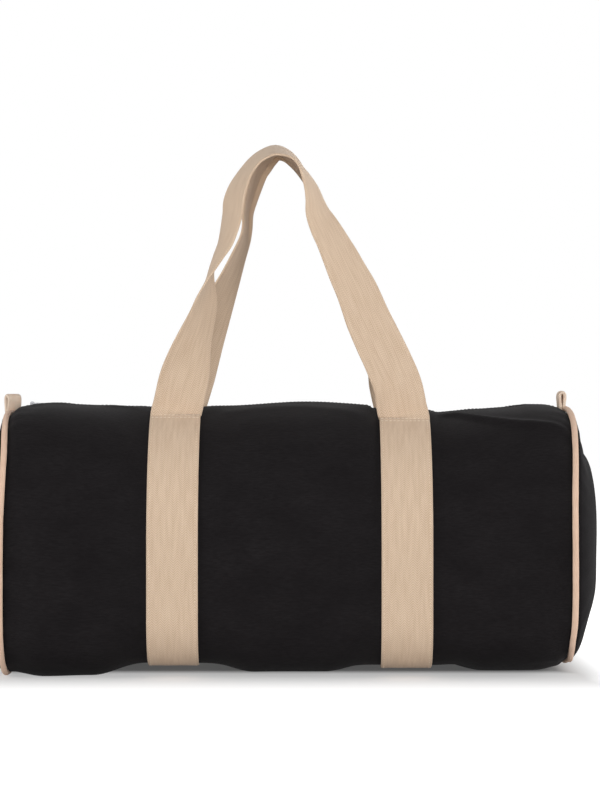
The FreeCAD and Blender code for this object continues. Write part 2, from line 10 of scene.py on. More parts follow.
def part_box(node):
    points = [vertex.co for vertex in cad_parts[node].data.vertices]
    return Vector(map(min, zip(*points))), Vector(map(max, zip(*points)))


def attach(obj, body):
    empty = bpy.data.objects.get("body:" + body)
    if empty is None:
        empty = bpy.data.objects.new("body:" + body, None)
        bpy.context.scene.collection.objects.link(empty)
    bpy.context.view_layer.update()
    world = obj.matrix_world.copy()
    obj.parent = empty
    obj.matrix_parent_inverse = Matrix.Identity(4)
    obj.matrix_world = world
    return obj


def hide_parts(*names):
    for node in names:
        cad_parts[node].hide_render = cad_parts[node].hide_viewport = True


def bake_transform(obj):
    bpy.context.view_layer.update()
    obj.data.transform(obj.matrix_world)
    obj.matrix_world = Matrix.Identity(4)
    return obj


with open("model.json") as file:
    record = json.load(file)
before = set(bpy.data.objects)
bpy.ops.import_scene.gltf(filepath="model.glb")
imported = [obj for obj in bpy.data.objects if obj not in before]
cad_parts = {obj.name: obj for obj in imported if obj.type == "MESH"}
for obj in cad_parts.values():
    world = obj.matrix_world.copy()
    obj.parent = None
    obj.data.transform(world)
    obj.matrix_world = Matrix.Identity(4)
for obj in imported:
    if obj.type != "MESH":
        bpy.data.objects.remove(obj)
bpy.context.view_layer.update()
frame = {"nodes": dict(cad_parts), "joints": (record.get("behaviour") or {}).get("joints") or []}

bl_info = {
    "name": "Barrel Bag",
    "version": (1, 0, 0),
    "blender": (4, 5, 0),
    "location": "View3D > Sidebar > Barrel Bag",
    "description": "Dresses the frame of a canvas barrel bag with webbing handles, piping and a zip",
    "category": "Object",
}

MM = 0.001

# Ends of the bag by their sign along X, and its front and back by their sign along Y
ENDS = {-1: "left", 1: "right"}
ROWS = {-1: "front", 1: "back"}


# Places taken from the frame, in metres

def middle_of(node):
    low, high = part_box(node)
    return (Vector(low) + Vector(high)) / 2


def extent_of(node):
    low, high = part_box(node)
    return Vector(high) - Vector(low)


def joint_named(name):
    return next(joint for joint in frame["joints"] if joint["name"] == name)


SEAM_X = middle_of("piping_cover_right").x
STRAP_X = middle_of("strap_right").x
WEBBING_WIDTH = extent_of("strap_right").x
BARREL_RADIUS = extent_of("body_panel").y / 2
PIPING_RADIUS = extent_of("piping_cover_right").x / 2
HINGE = Vector(joint_named("front_handle_swing")["pos_m"])
TAPE_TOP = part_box("zip_tape_back")[1][2]
ROW_LOW = Vector(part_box("zip_teeth_back")[0])
ROW_HIGH = Vector(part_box("zip_teeth_back")[1])


def linear(code):
    """Linear colour of an sRGB hex value."""
    shares = [int(code[at:at + 2], 16) / 255 for at in (1, 3, 5)]
    return [share / 12.92 if share <= 0.04045 else ((share + 0.055) / 1.055) ** 2.4 for share in shares]


# Sizes and colours that a user would change

def length(title, text, default):
    return bpy.props.FloatProperty(name=title, description=text, default=default, unit="LENGTH", precision=4)


def colour(title, text, code):
    return bpy.props.FloatVectorProperty(
        name=title, description=text, default=linear(code), size=3, min=0, max=1, subtype="COLOR"
    )


class BagSizes(bpy.types.PropertyGroup):
    """Sizes of the dressed bag."""

    canvas_thick: length("Canvas", "Thickness of the canvas", 1.0 * MM)
    zip_opening: length("Zip opening", "Gap between the panel's top edges", 11 * MM)
    cinch_side: length("Side cinch", "How far a strap draws in the sides", 3 * MM)
    cinch_run: length("Cinch run", "Length over which the canvas swells out beside a strap", 26 * MM)
    end_run: length("End run", "Length over which the barrel narrows to its end seam", 34 * MM)
    webbing_thick: length("Webbing", "Thickness of straps and handles", 2.2 * MM)
    loop_thick: length("Loop tape", "Thickness of the end loops' tape", 3 * MM)
    stitch_length: length("Stitch", "Length of one stitch", 2.6 * MM)
    stitch_pitch: length("Stitch pitch", "Distance from stitch to stitch", 3.4 * MM)
    thread_radius: length("Thread", "Radius of the sewing thread", 0.32 * MM)
    tooth_pitch: length("Tooth pitch", "Distance from tooth to tooth along one row of the zip", 3 * MM)


class BagColours(bpy.types.PropertyGroup):
    """Colours of the dressed bag."""

    canvas: colour("Canvas", "Black cotton canvas", "#171516")
    # Lighter canvas: partly real rubbed wear, partly a painted sheen where raised fibres catch the light
    canvas_wear_and_sheen: colour("Canvas, rubbed and lit", "Canvas where its fibres catch the light", "#252324")
    webbing: colour("Webbing", "Raised yarns of the natural cotton webbing", "#E0C9B1")
    webbing_shade: colour("Webbing, hollows", "Yarns between the raised ones", "#C0A489")
    piping: colour("Piping", "Natural cotton cover of the piping", "#F4D3BC")
    piping_shade: colour("Piping, hollows", "Gaps of the piping's weave", "#E1BCA1")
    thread: colour("Thread", "Light sewing thread on the webbing", "#F2E8D8")
    thread_black: colour("Black thread", "Sewing thread on the canvas", "#2E2C2D")
    zip_black: colour("Zip", "Black zip tape and teeth", "#1B1A1B")
    metal: colour("Slider", "Plated slider and pull", "#8C8C8F")
    floor: colour("Floor", "Pale floor", "#F6F5F4")


def sizes():
    return bpy.context.scene.bag_sizes


def colours():
    return bpy.context.scene.bag_colours


# Small tools

def smooth(share):
    """Smooth step from 0 to 1."""
    share = min(max(share, 0.0), 1.0)
    return share * share * (3 - 2 * share)


def along_line(points, at):
    """Height of a smooth line through given points (place, height) at a place."""
    if at <= points[0][0]:
        return points[0][1]
    if at >= points[-1][0]:
        return points[-1][1]
    index = next(i for i in range(1, len(points)) if points[i][0] >= at) - 1
    before = points[max(index - 1, 0)]
    start, end = points[index], points[index + 1]
    after = points[min(index + 2, len(points) - 1)]
    run = end[0] - start[0]
    share = (at - start[0]) / run
    slope_in = (end[1] - before[1]) / (end[0] - before[0]) * run
    slope_out = (after[1] - start[1]) / (after[0] - start[0]) * run
    square, cube = share ** 2, share ** 3
    return (
        start[1] * (2 * cube - 3 * square + 1)
        + slope_in * (cube - 2 * square + share)
        + end[1] * (3 * square - 2 * cube)
        + slope_out * (cube - square)
    )


def mesh_object(name, points, faces, flat_places=None, material=None):
    """Smooth-shaded mesh piece; flat_places gives each point's place in the flat cloth, in metres."""
    mesh = bpy.data.meshes.new(name)
    mesh.from_pydata([tuple(point) for point in points], [], faces)
    if flat_places:
        layer = mesh.uv_layers.new(name="UVMap")
        for loop in mesh.loops:
            layer.data[loop.index].uv = flat_places[loop.vertex_index]
    mesh.polygons.foreach_set("use_smooth", [True] * len(mesh.polygons))
    if material:
        mesh.materials.append(material)
    piece = bpy.data.objects.new(name, mesh)
    bpy.context.scene.collection.objects.link(piece)
    return piece


def grid_faces(rows, columns, closed=False):
    """Quads of a grid of points listed row by row; closed joins the last column to the first."""
    faces = []
    for row in range(rows - 1):
        for column in range(columns if closed else columns - 1):
            following = (column + 1) % columns
            a, b = row * columns + column, row * columns + following
            faces.append((a, b, b + columns, a + columns))
    return faces


def apply_modifiers(piece):
    """Make the evaluated mesh the piece's own mesh."""
    graph = bpy.context.evaluated_depsgraph_get()
    mesh = bpy.data.meshes.new_from_object(piece.evaluated_get(graph))
    piece.modifiers.clear()
    old = piece.data
    piece.data = mesh
    bpy.data.meshes.remove(old)
    return piece


def thicken(piece, thick):
    """Give a sheet its thickness, inwards from its outer face."""
    wall = piece.modifiers.new("Cloth thickness", "SOLIDIFY")
    wall.thickness = thick
    wall.offset = -1.0
    wall.use_even_offset = False
    return apply_modifiers(piece)


def face_outwards(piece):
    """Turn the faces of a closed mesh outwards."""
    shape = bmesh.new()
    shape.from_mesh(piece.data)
    bmesh.ops.recalc_face_normals(shape, faces=shape.faces)
    shape.to_mesh(piece.data)
    shape.free()
    return piece


def dress(piece, body, slot, *nodes):
    """Ride on a body and stand for the CAD nodes named; slot is not used."""
    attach(piece, body)
    if nodes:
        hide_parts(*nodes)
    return piece


# Steps of a first, finer pass for each even step of a line
FINE_STEPS = 8


def resampled(places, count):
    """Places at even steps of a smooth line through some places, whose first three numbers are a point."""
    reach = [0.0]
    for first, last in zip(places, places[1:]):
        reach.append(reach[-1] + (Vector(last[:3]) - Vector(first[:3])).length)
    lines = [list(zip(reach, values)) for values in zip(*places)]
    return [tuple(along_line(line, reach[-1] * step / count) for line in lines) for step in range(count + 1)]


def through(stations, count):
    """Evenly spaced places along a smooth line through stations."""
    return resampled(resampled(stations, count * FINE_STEPS), count)


def travel(places):
    """Each place as a point, with the heading there and the distance from the start."""
    along = 0.0
    for index, place in enumerate(places):
        here = Vector(place[:3])
        behind = Vector(places[max(index - 1, 0)][:3])
        ahead = Vector(places[min(index + 1, len(places) - 1)][:3])
        along += (here - behind).length
        yield here, (ahead - behind).normalized(), along


# Steps across a ribbon, and the width of its margin that can roll up
RIBBON_STEPS = 24
ROLLED_MARGIN = 6 * MM


def ribbon_section(width, thick, cup=0.0, roll=0.0):
    """Rounded rectangle across a ribbon as pairs (across, out), edges cupped and rear margin rolled up."""
    half = width / 2
    flat = half - thick / 2
    upper = [(-flat * math.cos(math.pi * step / RIBBON_STEPS), thick / 2) for step in range(RIBBON_STEPS + 1)]
    round_end = [
        (flat + thick / 2 * math.sin(angle), thick / 2 * math.cos(angle))
        for angle in (math.pi / 4, math.pi / 2, 3 * math.pi / 4)
    ]
    ring = upper + round_end
    ring += [(-across, -out) for across, out in ring]
    crease = ROLLED_MARGIN - half
    bent = []
    for across, out in ring:
        lift = cup * ((across / half) ** 2 - 1 / 3)
        if across < crease:
            beyond = crease - across
            across = crease - beyond * math.cos(roll) + out * math.sin(roll)
            out = beyond * math.sin(roll) + out * math.cos(roll)
        bent.append((across, out + lift))
    return bent


def sweep(name, stations, rings, material, closed=False):
    """Tube through stations (point, across, out, place along), with a ring of pairs at each of them."""
    points, flat_places = [], []
    around = 0.0
    girth = []
    ring = rings[0]
    for index, (across, out) in enumerate(ring):
        girth.append(around)
        following = ring[(index + 1) % len(ring)]
        around += math.hypot(following[0] - across, following[1] - out)
    for (middle, across, out, along), pairs in zip(stations, rings):
        for (a, b), place in zip(pairs, girth):
            points.append(middle + across * a + out * b)
            flat_places.append((place, along))
    count = len(stations)
    faces = grid_faces(count, len(ring), closed=True)
    if closed:
        last = (count - 1) * len(ring)
        for column in range(len(ring)):
            following = (column + 1) % len(ring)
            faces.append((last + column, last + following, following, column))
    else:
        faces.append(tuple(range(len(ring))))
        faces.append(tuple(range((count - 1) * len(ring), count * len(ring))))
    return face_outwards(mesh_object(name, points, faces, flat_places, material))


# Materials

def add_node(tree, kind, inputs=None, **settings):
    """Add a node with its settings; each input is a value or the socket that feeds it."""
    node = tree.nodes.new(kind)
    for name, value in settings.items():
        setattr(node, name, value)
    for name, value in (inputs or {}).items():
        if isinstance(value, bpy.types.NodeSocket):
            tree.links.new(value, node.inputs[name])
        else:
            node.inputs[name].default_value = value
    return node


def new_material(name):
    material = bpy.data.materials.new(name)
    material.use_nodes = True
    material.node_tree.nodes.clear()
    return material, material.node_tree


def flat_cloth(tree):
    """Places across and along the flat cloth, in metres."""
    flat = add_node(tree, "ShaderNodeUVMap", uv_map="UVMap")
    parts = add_node(tree, "ShaderNodeSeparateXYZ", {0: flat.outputs[0]})
    return parts.outputs[0], parts.outputs[1]


def ripple(tree, place, pitch):
    """Wave from -1 to 1 that repeats every pitch metres."""
    turns = add_node(tree, "ShaderNodeMath", {0: place, 1: 2 * math.pi / pitch}, operation="MULTIPLY")
    return add_node(tree, "ShaderNodeMath", {0: turns.outputs[0]}, operation="SINE").outputs[0]


def patches(tree, run, stretch=1.0, detail=4.0):
    """Soft random patches from 0 to 1, about run metres across; a stretch below 1 draws them out along X."""
    places = add_node(tree, "ShaderNodeTexCoord").outputs["Object"]
    scaled = add_node(tree, "ShaderNodeMapping", {"Vector": places, "Scale": (stretch, 1, 1)}).outputs[0]
    soft = {"Vector": scaled, "Scale": 1 / run, "Detail": detail, "Roughness": 0.6}
    return add_node(tree, "ShaderNodeTexNoise", soft).outputs["Fac"]


BUMP_STRENGTH = 0.6


def surface(tree, first, second, share, height, depth, **inputs):
    """Two colours mixed by share, with bumps of the given depth in metres."""
    pair = {0: share, 6: (*first, 1), 7: (*second, 1)}
    tone = add_node(tree, "ShaderNodeMix", pair, data_type="RGBA", clamp_factor=True)
    bump = add_node(tree, "ShaderNodeBump", {"Strength": BUMP_STRENGTH, "Distance": depth, "Height": height})
    named = {name.replace("_", " "): value for name, value in inputs.items()}
    shader = add_node(
        tree, "ShaderNodeBsdfPrincipled", {"Base Color": tone.outputs[2], "Normal": bump.outputs[0], **named}
    )
    add_node(tree, "ShaderNodeOutputMaterial", {"Surface": shader.outputs[0]})


def shaded(tone, share):
    """A colour made darker."""
    return [value * share for value in tone]


# Real sizes of the surfaces: pitches of weaves, widths of patches and marks, and depths of relief
CANVAS_PITCH = 1.3 * MM
CANVAS_SLUB = 1.2 * MM
CANVAS_RUBBED = 30 * MM
CANVAS_DEPTH = 0.35 * MM
CHEVRON_COLUMN = 3.75 * MM
CHEVRON_PITCH = 2.1 * MM
YARN_PITCH = 0.94 * MM
STREAK_WIDTH = 2.6 * MM
WEBBING_DEPTH = 0.05 * MM
BIAS_PITCH = 1.3 * MM
BIAS_MOTTLE = 8 * MM
BIAS_DEPTH = 0.25 * MM
TAPE_MOTTLE = 6 * MM
TAPE_DEPTH = 0.25 * MM
MOULD_MARK = 0.6 * MM
MOULD_DEPTH = 0.05 * MM
BRUSH_MARK = 0.5 * MM
BRUSH_DEPTH = 0.03 * MM


def canvas_material(title):
    """Black cotton canvas: a dull plain weave whose raised threads look grey in rubbed patches, partly real
    wear and partly a painted sheen of fibres catching the light.

    Single threads are too fine to show, so the slubs among them are drawn coarser than real ones.
    """
    made, tree = new_material(title)
    across, along = flat_cloth(tree)
    threads = {0: ripple(tree, across, CANVAS_PITCH), 1: ripple(tree, along, CANVAS_PITCH)}
    weave = add_node(tree, "ShaderNodeMath", threads, operation="MULTIPLY").outputs[0]
    woven = {0: weave, 1: 0.16, 2: patches(tree, CANVAS_SLUB, 0.2, 2.0)}
    raised = add_node(tree, "ShaderNodeMath", woven, operation="MULTIPLY_ADD").outputs[0]
    rubbed = patches(tree, CANVAS_RUBBED, 0.6, 6.0)
    tone = add_node(tree, "ShaderNodeMath", {0: raised, 1: rubbed}, operation="MULTIPLY").outputs[0]
    share = add_node(tree, "ShaderNodeMath", {0: tone, 1: 1.9, 2: -0.1}, operation="MULTIPLY_ADD").outputs[0]
    # Mixed towards the lighter canvas: partly real wear, partly a painted sheen on the raised threads
    surface(
        tree, colours().canvas, colours().canvas_wear_and_sheen, share, raised, CANVAS_DEPTH,
        Roughness=0.9, Specular_IOR_Level=0.04, Sheen_Weight=0.03, Sheen_Roughness=0.45,
    )
    return made


def webbing_material(title):
    """Natural cotton webbing: a herringbone of raised yarns that reads as fine chevrons, softly streaked."""
    made, tree = new_material(title)
    across, along = flat_cloth(tree)
    slant = add_node(tree, "ShaderNodeMath", {0: across, 1: CHEVRON_COLUMN}, operation="PINGPONG").outputs[0]
    diagonal = add_node(tree, "ShaderNodeMath", {0: along, 1: slant}, operation="ADD").outputs[0]
    chevrons = ripple(tree, diagonal, CHEVRON_PITCH)
    yarns = {0: ripple(tree, across, YARN_PITCH), 1: 0.3, 2: chevrons}
    raised = add_node(tree, "ShaderNodeMath", yarns, operation="MULTIPLY_ADD").outputs[0]
    drawn_out = add_node(tree, "ShaderNodeMath", {0: along, 1: 0.1}, operation="MULTIPLY").outputs[0]
    places = add_node(tree, "ShaderNodeCombineXYZ", {0: across, 1: drawn_out}).outputs[0]
    uneven = {"Vector": places, "Scale": 1 / STREAK_WIDTH, "Detail": 3.0}
    streaks = add_node(tree, "ShaderNodeTexNoise", uneven).outputs["Fac"]
    even = add_node(tree, "ShaderNodeMath", {0: streaks, 1: 0.9, 2: 0.1}, operation="MULTIPLY_ADD").outputs[0]
    woven = {0: raised, 1: 0.38, 2: even}
    share = add_node(tree, "ShaderNodeMath", woven, operation="MULTIPLY_ADD").outputs[0]
    surface(
        tree, colours().webbing_shade, colours().webbing, share, chevrons, WEBBING_DEPTH,
        Roughness=0.85, Specular_IOR_Level=0.2, Sheen_Weight=0.15, Sheen_Roughness=0.5,
    )
    return made


def piping_material(title):
    """Natural cotton cut on the bias: a fine slanting weave round the cord."""
    made, tree = new_material(title)
    across, along = flat_cloth(tree)
    one_way = add_node(tree, "ShaderNodeMath", {0: across, 1: along}, operation="ADD").outputs[0]
    other_way = add_node(tree, "ShaderNodeMath", {0: across, 1: along}, operation="SUBTRACT").outputs[0]
    threads = {0: ripple(tree, one_way, BIAS_PITCH), 1: ripple(tree, other_way, BIAS_PITCH)}
    weave = add_node(tree, "ShaderNodeMath", threads, operation="MULTIPLY").outputs[0]
    woven = {0: weave, 1: 0.3, 2: patches(tree, BIAS_MOTTLE)}
    share = add_node(tree, "ShaderNodeMath", woven, operation="MULTIPLY_ADD").outputs[0]
    surface(
        tree, colours().piping_shade, colours().piping, share, weave, BIAS_DEPTH,
        Roughness=0.85, Specular_IOR_Level=0.2, Sheen_Weight=0.15,
    )
    return made


# Tapes and yarns: names of the colours of their hollows and of their raised parts, and their pitch
TAPES = {
    "Natural twill tape": ("piping_shade", "thread", 1.6 * MM),
    "Black zip tape": ("zip_black", "canvas_wear_and_sheen", 1.0 * MM),
    "Black binding tape": ("zip_black", "canvas", 1.4 * MM),
}
YARNS = {
    "Cotton cord filler": ("piping_shade", "thread", 2.0 * MM),
    "Natural sewing thread": ("webbing", "thread", 0.5 * MM),
    "Black sewing thread": ("zip_black", "thread_black", 0.5 * MM),
}


def twill_material(title):
    """Narrow woven tape: slanting twill ribs."""
    hollows, raised, pitch = TAPES[title]
    made, tree = new_material(title)
    across, along = flat_cloth(tree)
    slant = add_node(tree, "ShaderNodeMath", {0: across, 1: along}, operation="ADD").outputs[0]
    ribs = ripple(tree, slant, pitch)
    woven = {0: ribs, 1: 0.28, 2: patches(tree, TAPE_MOTTLE)}
    share = add_node(tree, "ShaderNodeMath", woven, operation="MULTIPLY_ADD").outputs[0]
    surface(
        tree, getattr(colours(), hollows), getattr(colours(), raised), share, ribs, TAPE_DEPTH,
        Roughness=0.85, Specular_IOR_Level=0.2, Sheen_Weight=0.1,
    )
    return made


def plied_material(title):
    """Twisted yarn: bright plies with dark lines between them."""
    hollows, raised, pitch = YARNS[title]
    made, tree = new_material(title)
    places = add_node(tree, "ShaderNodeTexCoord").outputs["Object"]
    slant = add_node(tree, "ShaderNodeVectorMath", {0: places, 1: (1, 1, 1)}, operation="DOT_PRODUCT")
    plies = ripple(tree, slant.outputs["Value"], pitch)
    share = add_node(tree, "ShaderNodeMath", {0: plies, 1: 0.35, 2: 0.6}, operation="MULTIPLY_ADD").outputs[0]
    surface(
        tree, getattr(colours(), hollows), getattr(colours(), raised), share, plies, pitch / 5,
        Roughness=0.7, Specular_IOR_Level=0.3,
    )
    return made


def plastic_material(title):
    """Moulded zip teeth: black with a low gloss and fine mould marks."""
    made, tree = new_material(title)
    marks = patches(tree, MOULD_MARK)
    surface(
        tree, colours().zip_black, colours().canvas_wear_and_sheen, marks, marks, MOULD_DEPTH,
        Roughness=0.42, Specular_IOR_Level=0.4,
    )
    return made


def metal_material(title):
    """Plated metal: grey and glossy, with brushed streaks that break up its reflections."""
    made, tree = new_material(title)
    streaks = patches(tree, BRUSH_MARK, 0.08)
    rough = {0: streaks, 1: 0.22, 2: 0.2}
    gloss = add_node(tree, "ShaderNodeMath", rough, operation="MULTIPLY_ADD").outputs[0]
    worn = shaded(colours().metal, 0.72)
    surface(tree, worn, colours().metal, streaks, streaks, BRUSH_DEPTH, Roughness=gloss, Metallic=1.0)
    return made


# Maker of each material by its title
MAKERS = {
    "Black cotton canvas": canvas_material,
    "Natural herringbone webbing": webbing_material,
    "Natural cotton piping": piping_material,
    "Black moulded teeth": plastic_material,
    "Plated metal": metal_material,
    **dict.fromkeys(TAPES, twill_material),
    **dict.fromkeys(YARNS, plied_material),
}


def material(title):
    """Material with this title, made on first use."""
    return bpy.data.materials.get(title) or MAKERS[title](title)


# Shape of the canvas, with places along the barrel and heights in millimetres

# Height of the top along the zip
TOP_LINE = (
    (-248, 230.5), (-241, 237.3), (-232, 239), (-215, 241), (-190, 239.7), (-155, 238.5), (-128, 238.3),
    (-102, 237.8), (-75, 238.4), (-45, 239), (0, 242), (18, 242.3), (40, 241.5), (70, 239.3), (80, 238.4),
    (102, 234.8), (128, 232.4), (137, 233), (155, 234.6), (191, 237.2), (205, 238.4), (218, 239.8),
    (232, 239.4), (242, 237), (248, 233.5),
)

# Radius of the lower corners
CORNER_LINE = ((-240, 40), (-150, 40), (-60, 42), (60, 42), (150, 42), (240, 44))

# How far the shoulders beside the round top stand out
SHOULDER_LINE = (
    (-245, 16), (-205, 10), (-150, 3), (-125, 0), (-80, 0), (-40, 2), (40, 2), (80, 0), (125, 0), (150, 3),
    (205, 7), (245, 8),
)

# How far the front and back edges of the bottom stand off the floor, where that rise starts from the middle
# of the bottom, its run, and the height on the sides at which it has died away
EDGE_LINE = ((-240, 0), (-150, 0.6), (-60, 3.2), (60, 3.6), (150, 4.6), (240, 5), (252, 6))
EDGE_START = 15 * MM
EDGE_RUN = 60 * MM
EDGE_HEIGHT = 80 * MM

# How far each strap lifts the bottom, the runs beside a strap over which the bottom and the top recover, and
# the margin beside the webbing that stays drawn in
STRAP_LIFTS = ((-102, 11.5), (102, 9.3))
LIFT_RUN = 48 * MM
TOP_CINCH_RUN = 9 * MM
STRAP_MARGIN = 1 * MM

# End seams: heights of their tops, how far they draw the canvas in, how far and over what run they tuck up
# the bottom, how far the piping's middle stands out from the canvas, and the gap beside the seam that it
# fills
SEAM_TOPS = {-1: 232 * MM, 1: 235.5 * MM}
SEAM_DRAW = 4.5 * MM
SEAM_TUCKS = {-1: 0.0, 1: 5.5 * MM}
TUCK_RUN = 14 * MM
PIPING_STAND = 1.5 * MM
NECK_GAP = 3.3 * MM

# How far each end seam stands out from its plane: distance from the top, then the bow, both in millimetres;
# then the run in which the canvas follows it
SEAM_BOWS = {
    -1: ((0, 0), (30, 2.5), (65, 2.5), (110, 0.5), (170, 2.4), (260, 2.6), (300, 1.2), (330, 0)),
    1: (
        (0, 0), (60, 2), (100, 1.2), (150, -0.8), (230, -0.8), (260, -1.5), (280, -2.8), (310, -3), (330, -2),
    ),
}
BOW_RUN = 34 * MM

# Edges turned in at the end seams: distance from the seam's plane and depth
TURNED_EDGES = ((1.2 * MM, 9 * MM), (1.2 * MM, 4 * MM), (2.2 * MM, 1.2 * MM))

# Soft folds: height, half width, then places along the barrel and distances from the top; then the run in
# which a fold rises and dies away, and the share of that run by which it is cut short at its last place
FOLDS = (
    (3.4, 4.6, ((118, 12), (145, 28), (167, 46), (190, 60), (216, 71), (246, 76))),
    (1.5, 7, ((-246, 45), (-232, 30), (-214, 14), (-196, 8))),
    (1.4, 6, ((-176, 5), (-150, 14), (-126, 23))),
    (1.0, 9, ((-70, 40), (-30, 30), (30, 34), (72, 46))),
    (1.6, 5, ((196, 300), (222, 296), (246, 297))),
    (1.2, 6, ((-240, 280), (-205, 292), (-170, 300))),
)
FOLD_TAPER = 18
FOLD_END = 0.35

# Slack of the canvas in broad and in small swells: height in millimetres, swells for each metre along and
# round the barrel, and the place in the noise; then the run from the zip in which the slack grows
SLACKS = ((1.1, 11, 9, 1.7), (0.5, 30, 24, 5.3))
HEM_RUN = 12 * MM

# Puckers beside the end seams: height in millimetres, pitch, reach, the run in which they rise, how far they
# are out of step, and how often that changes in each metre
PUCKER_RISE = 0.7
PUCKER_PITCH = 19 * MM
PUCKER_REACH = 13 * MM
PUCKER_START = 4 * MM
PUCKER_WANDER = 2.2
WANDER_RATE = 30

Section = namedtuple("Section", "radius corner low top shoulder")


def grown(section, swell):
    """The same cross-section, larger all round by swell."""
    return section._replace(
        radius=section.radius + swell,
        corner=section.corner + swell,
        low=section.low - swell,
        top=section.top + swell,
    )


def side_of(x):
    """1 on the right half of the bag and -1 on the left."""
    return 1 if x > 0 else -1


def edge_lift(x, point):
    """How far the canvas rises from the floor towards the edges of the bottom."""
    lift = along_line(EDGE_LINE, x / MM) * MM
    return lift * smooth((abs(point.y) - EDGE_START) / EDGE_RUN) * smooth(1 - point.z / EDGE_HEIGHT)


def near_strap(x, run):
    """1 under a strap, falling to 0 over a run beside it."""
    away = abs(abs(x) - STRAP_X) - WEBBING_WIDTH / 2 - STRAP_MARGIN
    return 1 - smooth(away / run)


def barrel_section(x):
    """Cross-section of the canvas at a place along the barrel."""
    strap = near_strap(x, sizes().cinch_run)
    seam = smooth(1 - (SEAM_X - abs(x)) / sizes().end_run)
    lift = along_line(STRAP_LIFTS, x / MM) * MM * near_strap(x, LIFT_RUN)
    tuck = SEAM_TUCKS[side_of(x)] * smooth(1 - (SEAM_X - abs(x)) / TUCK_RUN)
    top = along_line(TOP_LINE, x / MM) * MM
    strap_top = along_line(TOP_LINE, side_of(x) * STRAP_X / MM) * MM
    return Section(
        radius=BARREL_RADIUS - sizes().cinch_side * strap - SEAM_DRAW * seam,
        corner=along_line(CORNER_LINE, x / MM) * MM,
        low=lift + SEAM_DRAW * seam + tuck,
        top=top + (strap_top - top) * near_strap(x, TOP_CINCH_RUN),
        shoulder=along_line(SHOULDER_LINE, x / MM) * MM * (1 - strap),
    )


def seam_section(side):
    """Line of the piping's middle at an end seam."""
    neck = barrel_section(side * SEAM_X)
    return grown(neck, PIPING_STAND)._replace(top=SEAM_TOPS[side])


def half_girth(section, gap=0.0):
    """Length from the front edge of the gap at the top to the middle of the bottom."""
    arc = section.radius * (math.pi / 2 - math.asin(gap / 2 / section.radius))
    upright = section.top - section.radius - section.low - section.corner
    return arc + upright + section.corner * math.pi / 2 + section.radius - section.corner


def outline_point(section, distance, gap=0.0):
    """Point and outward direction at a distance from the front edge of the gap, going under the bag."""
    half = half_girth(section, gap)
    flip = -1 if distance > half else 1
    left = 2 * half - distance if distance > half else distance
    start = math.asin(gap / 2 / section.radius)
    arc = section.radius * (math.pi / 2 - start)
    upright = section.top - section.radius - section.low - section.corner
    bend = section.corner * math.pi / 2
    foot = section.radius - section.corner
    if left < arc:
        angle = start + left / section.radius
        radial = Vector((0, -math.sin(angle), math.cos(angle)))
        tangent = Vector((0, -math.cos(angle), -math.sin(angle)))
        reach = section.radius + section.shoulder * math.sin(2 * angle) ** 2
        slope = 2 * section.shoulder * math.sin(4 * angle)
        out = (radial * reach - tangent * slope).normalized()
        point = Vector((0, 0, section.top - section.radius)) + radial * reach
    elif left < arc + upright:
        out = Vector((0, -1, 0))
        point = Vector((0, -section.radius, section.top - section.radius - (left - arc)))
    elif left < arc + upright + bend:
        angle = (left - arc - upright) / section.corner
        out = Vector((0, -math.cos(angle), -math.sin(angle)))
        point = Vector((0, -foot, section.low + section.corner)) + out * section.corner
    else:
        out = Vector((0, 0, -1))
        point = Vector((0, -foot + left - arc - upright - bend, section.low))
    point.y *= flip
    out.y *= flip
    return point, out


def seam_bow(side, section, distance, gap=0.0):
    """How far an end seam stands out from its plane at a distance from the front edge of the gap."""
    half = half_girth(section, gap)
    left = 2 * half - distance if distance > half else distance
    return along_line(SEAM_BOWS[side], (left + gap / 2) / MM) * MM


def fold_height(x, distance):
    """Height of the soft folds, in metres."""
    height = 0.0
    for rise, half_width, line in FOLDS:
        start, end = line[0][0], line[-1][0]
        if start < x / MM < end:
            taper = smooth((x / MM - start) / FOLD_TAPER) * smooth((end - x / MM) / FOLD_TAPER + FOLD_END)
            away = (distance / MM - along_line(line, x / MM)) / half_width
            height += rise * MM * taper * math.exp(-away * away)
    return height


def pucker_wander(distance, row, seed):
    """How far the puckers of one row are out of step at a distance along their seam."""
    return PUCKER_WANDER * noise.noise(Vector((distance * WANDER_RATE, row, seed)))


def canvas_relief(x, distance, whole):
    """How far the canvas stands out from its plain shape: slack, folds, and puckers at the end seams."""
    back = distance > whole / 2
    near = whole - distance if back else distance
    slack = sum(
        height * noise.noise(Vector((x * along, distance * around, seed)))
        for height, along, around, seed in SLACKS
    )
    to_seam = SEAM_X - abs(x)
    wander = pucker_wander(distance, math.copysign(4, x), 0.4)
    pucker = math.exp(-to_seam / PUCKER_REACH) * math.sin(2 * math.pi * distance / PUCKER_PITCH + wander)
    loose = 1 - near_strap(x, sizes().cinch_run)
    hem = smooth(near / HEM_RUN)
    folds = fold_height(-x if back else x, near) * loose
    return (slack * loose * hem + PUCKER_RISE * pucker * smooth(to_seam / PUCKER_START)) * MM + folds


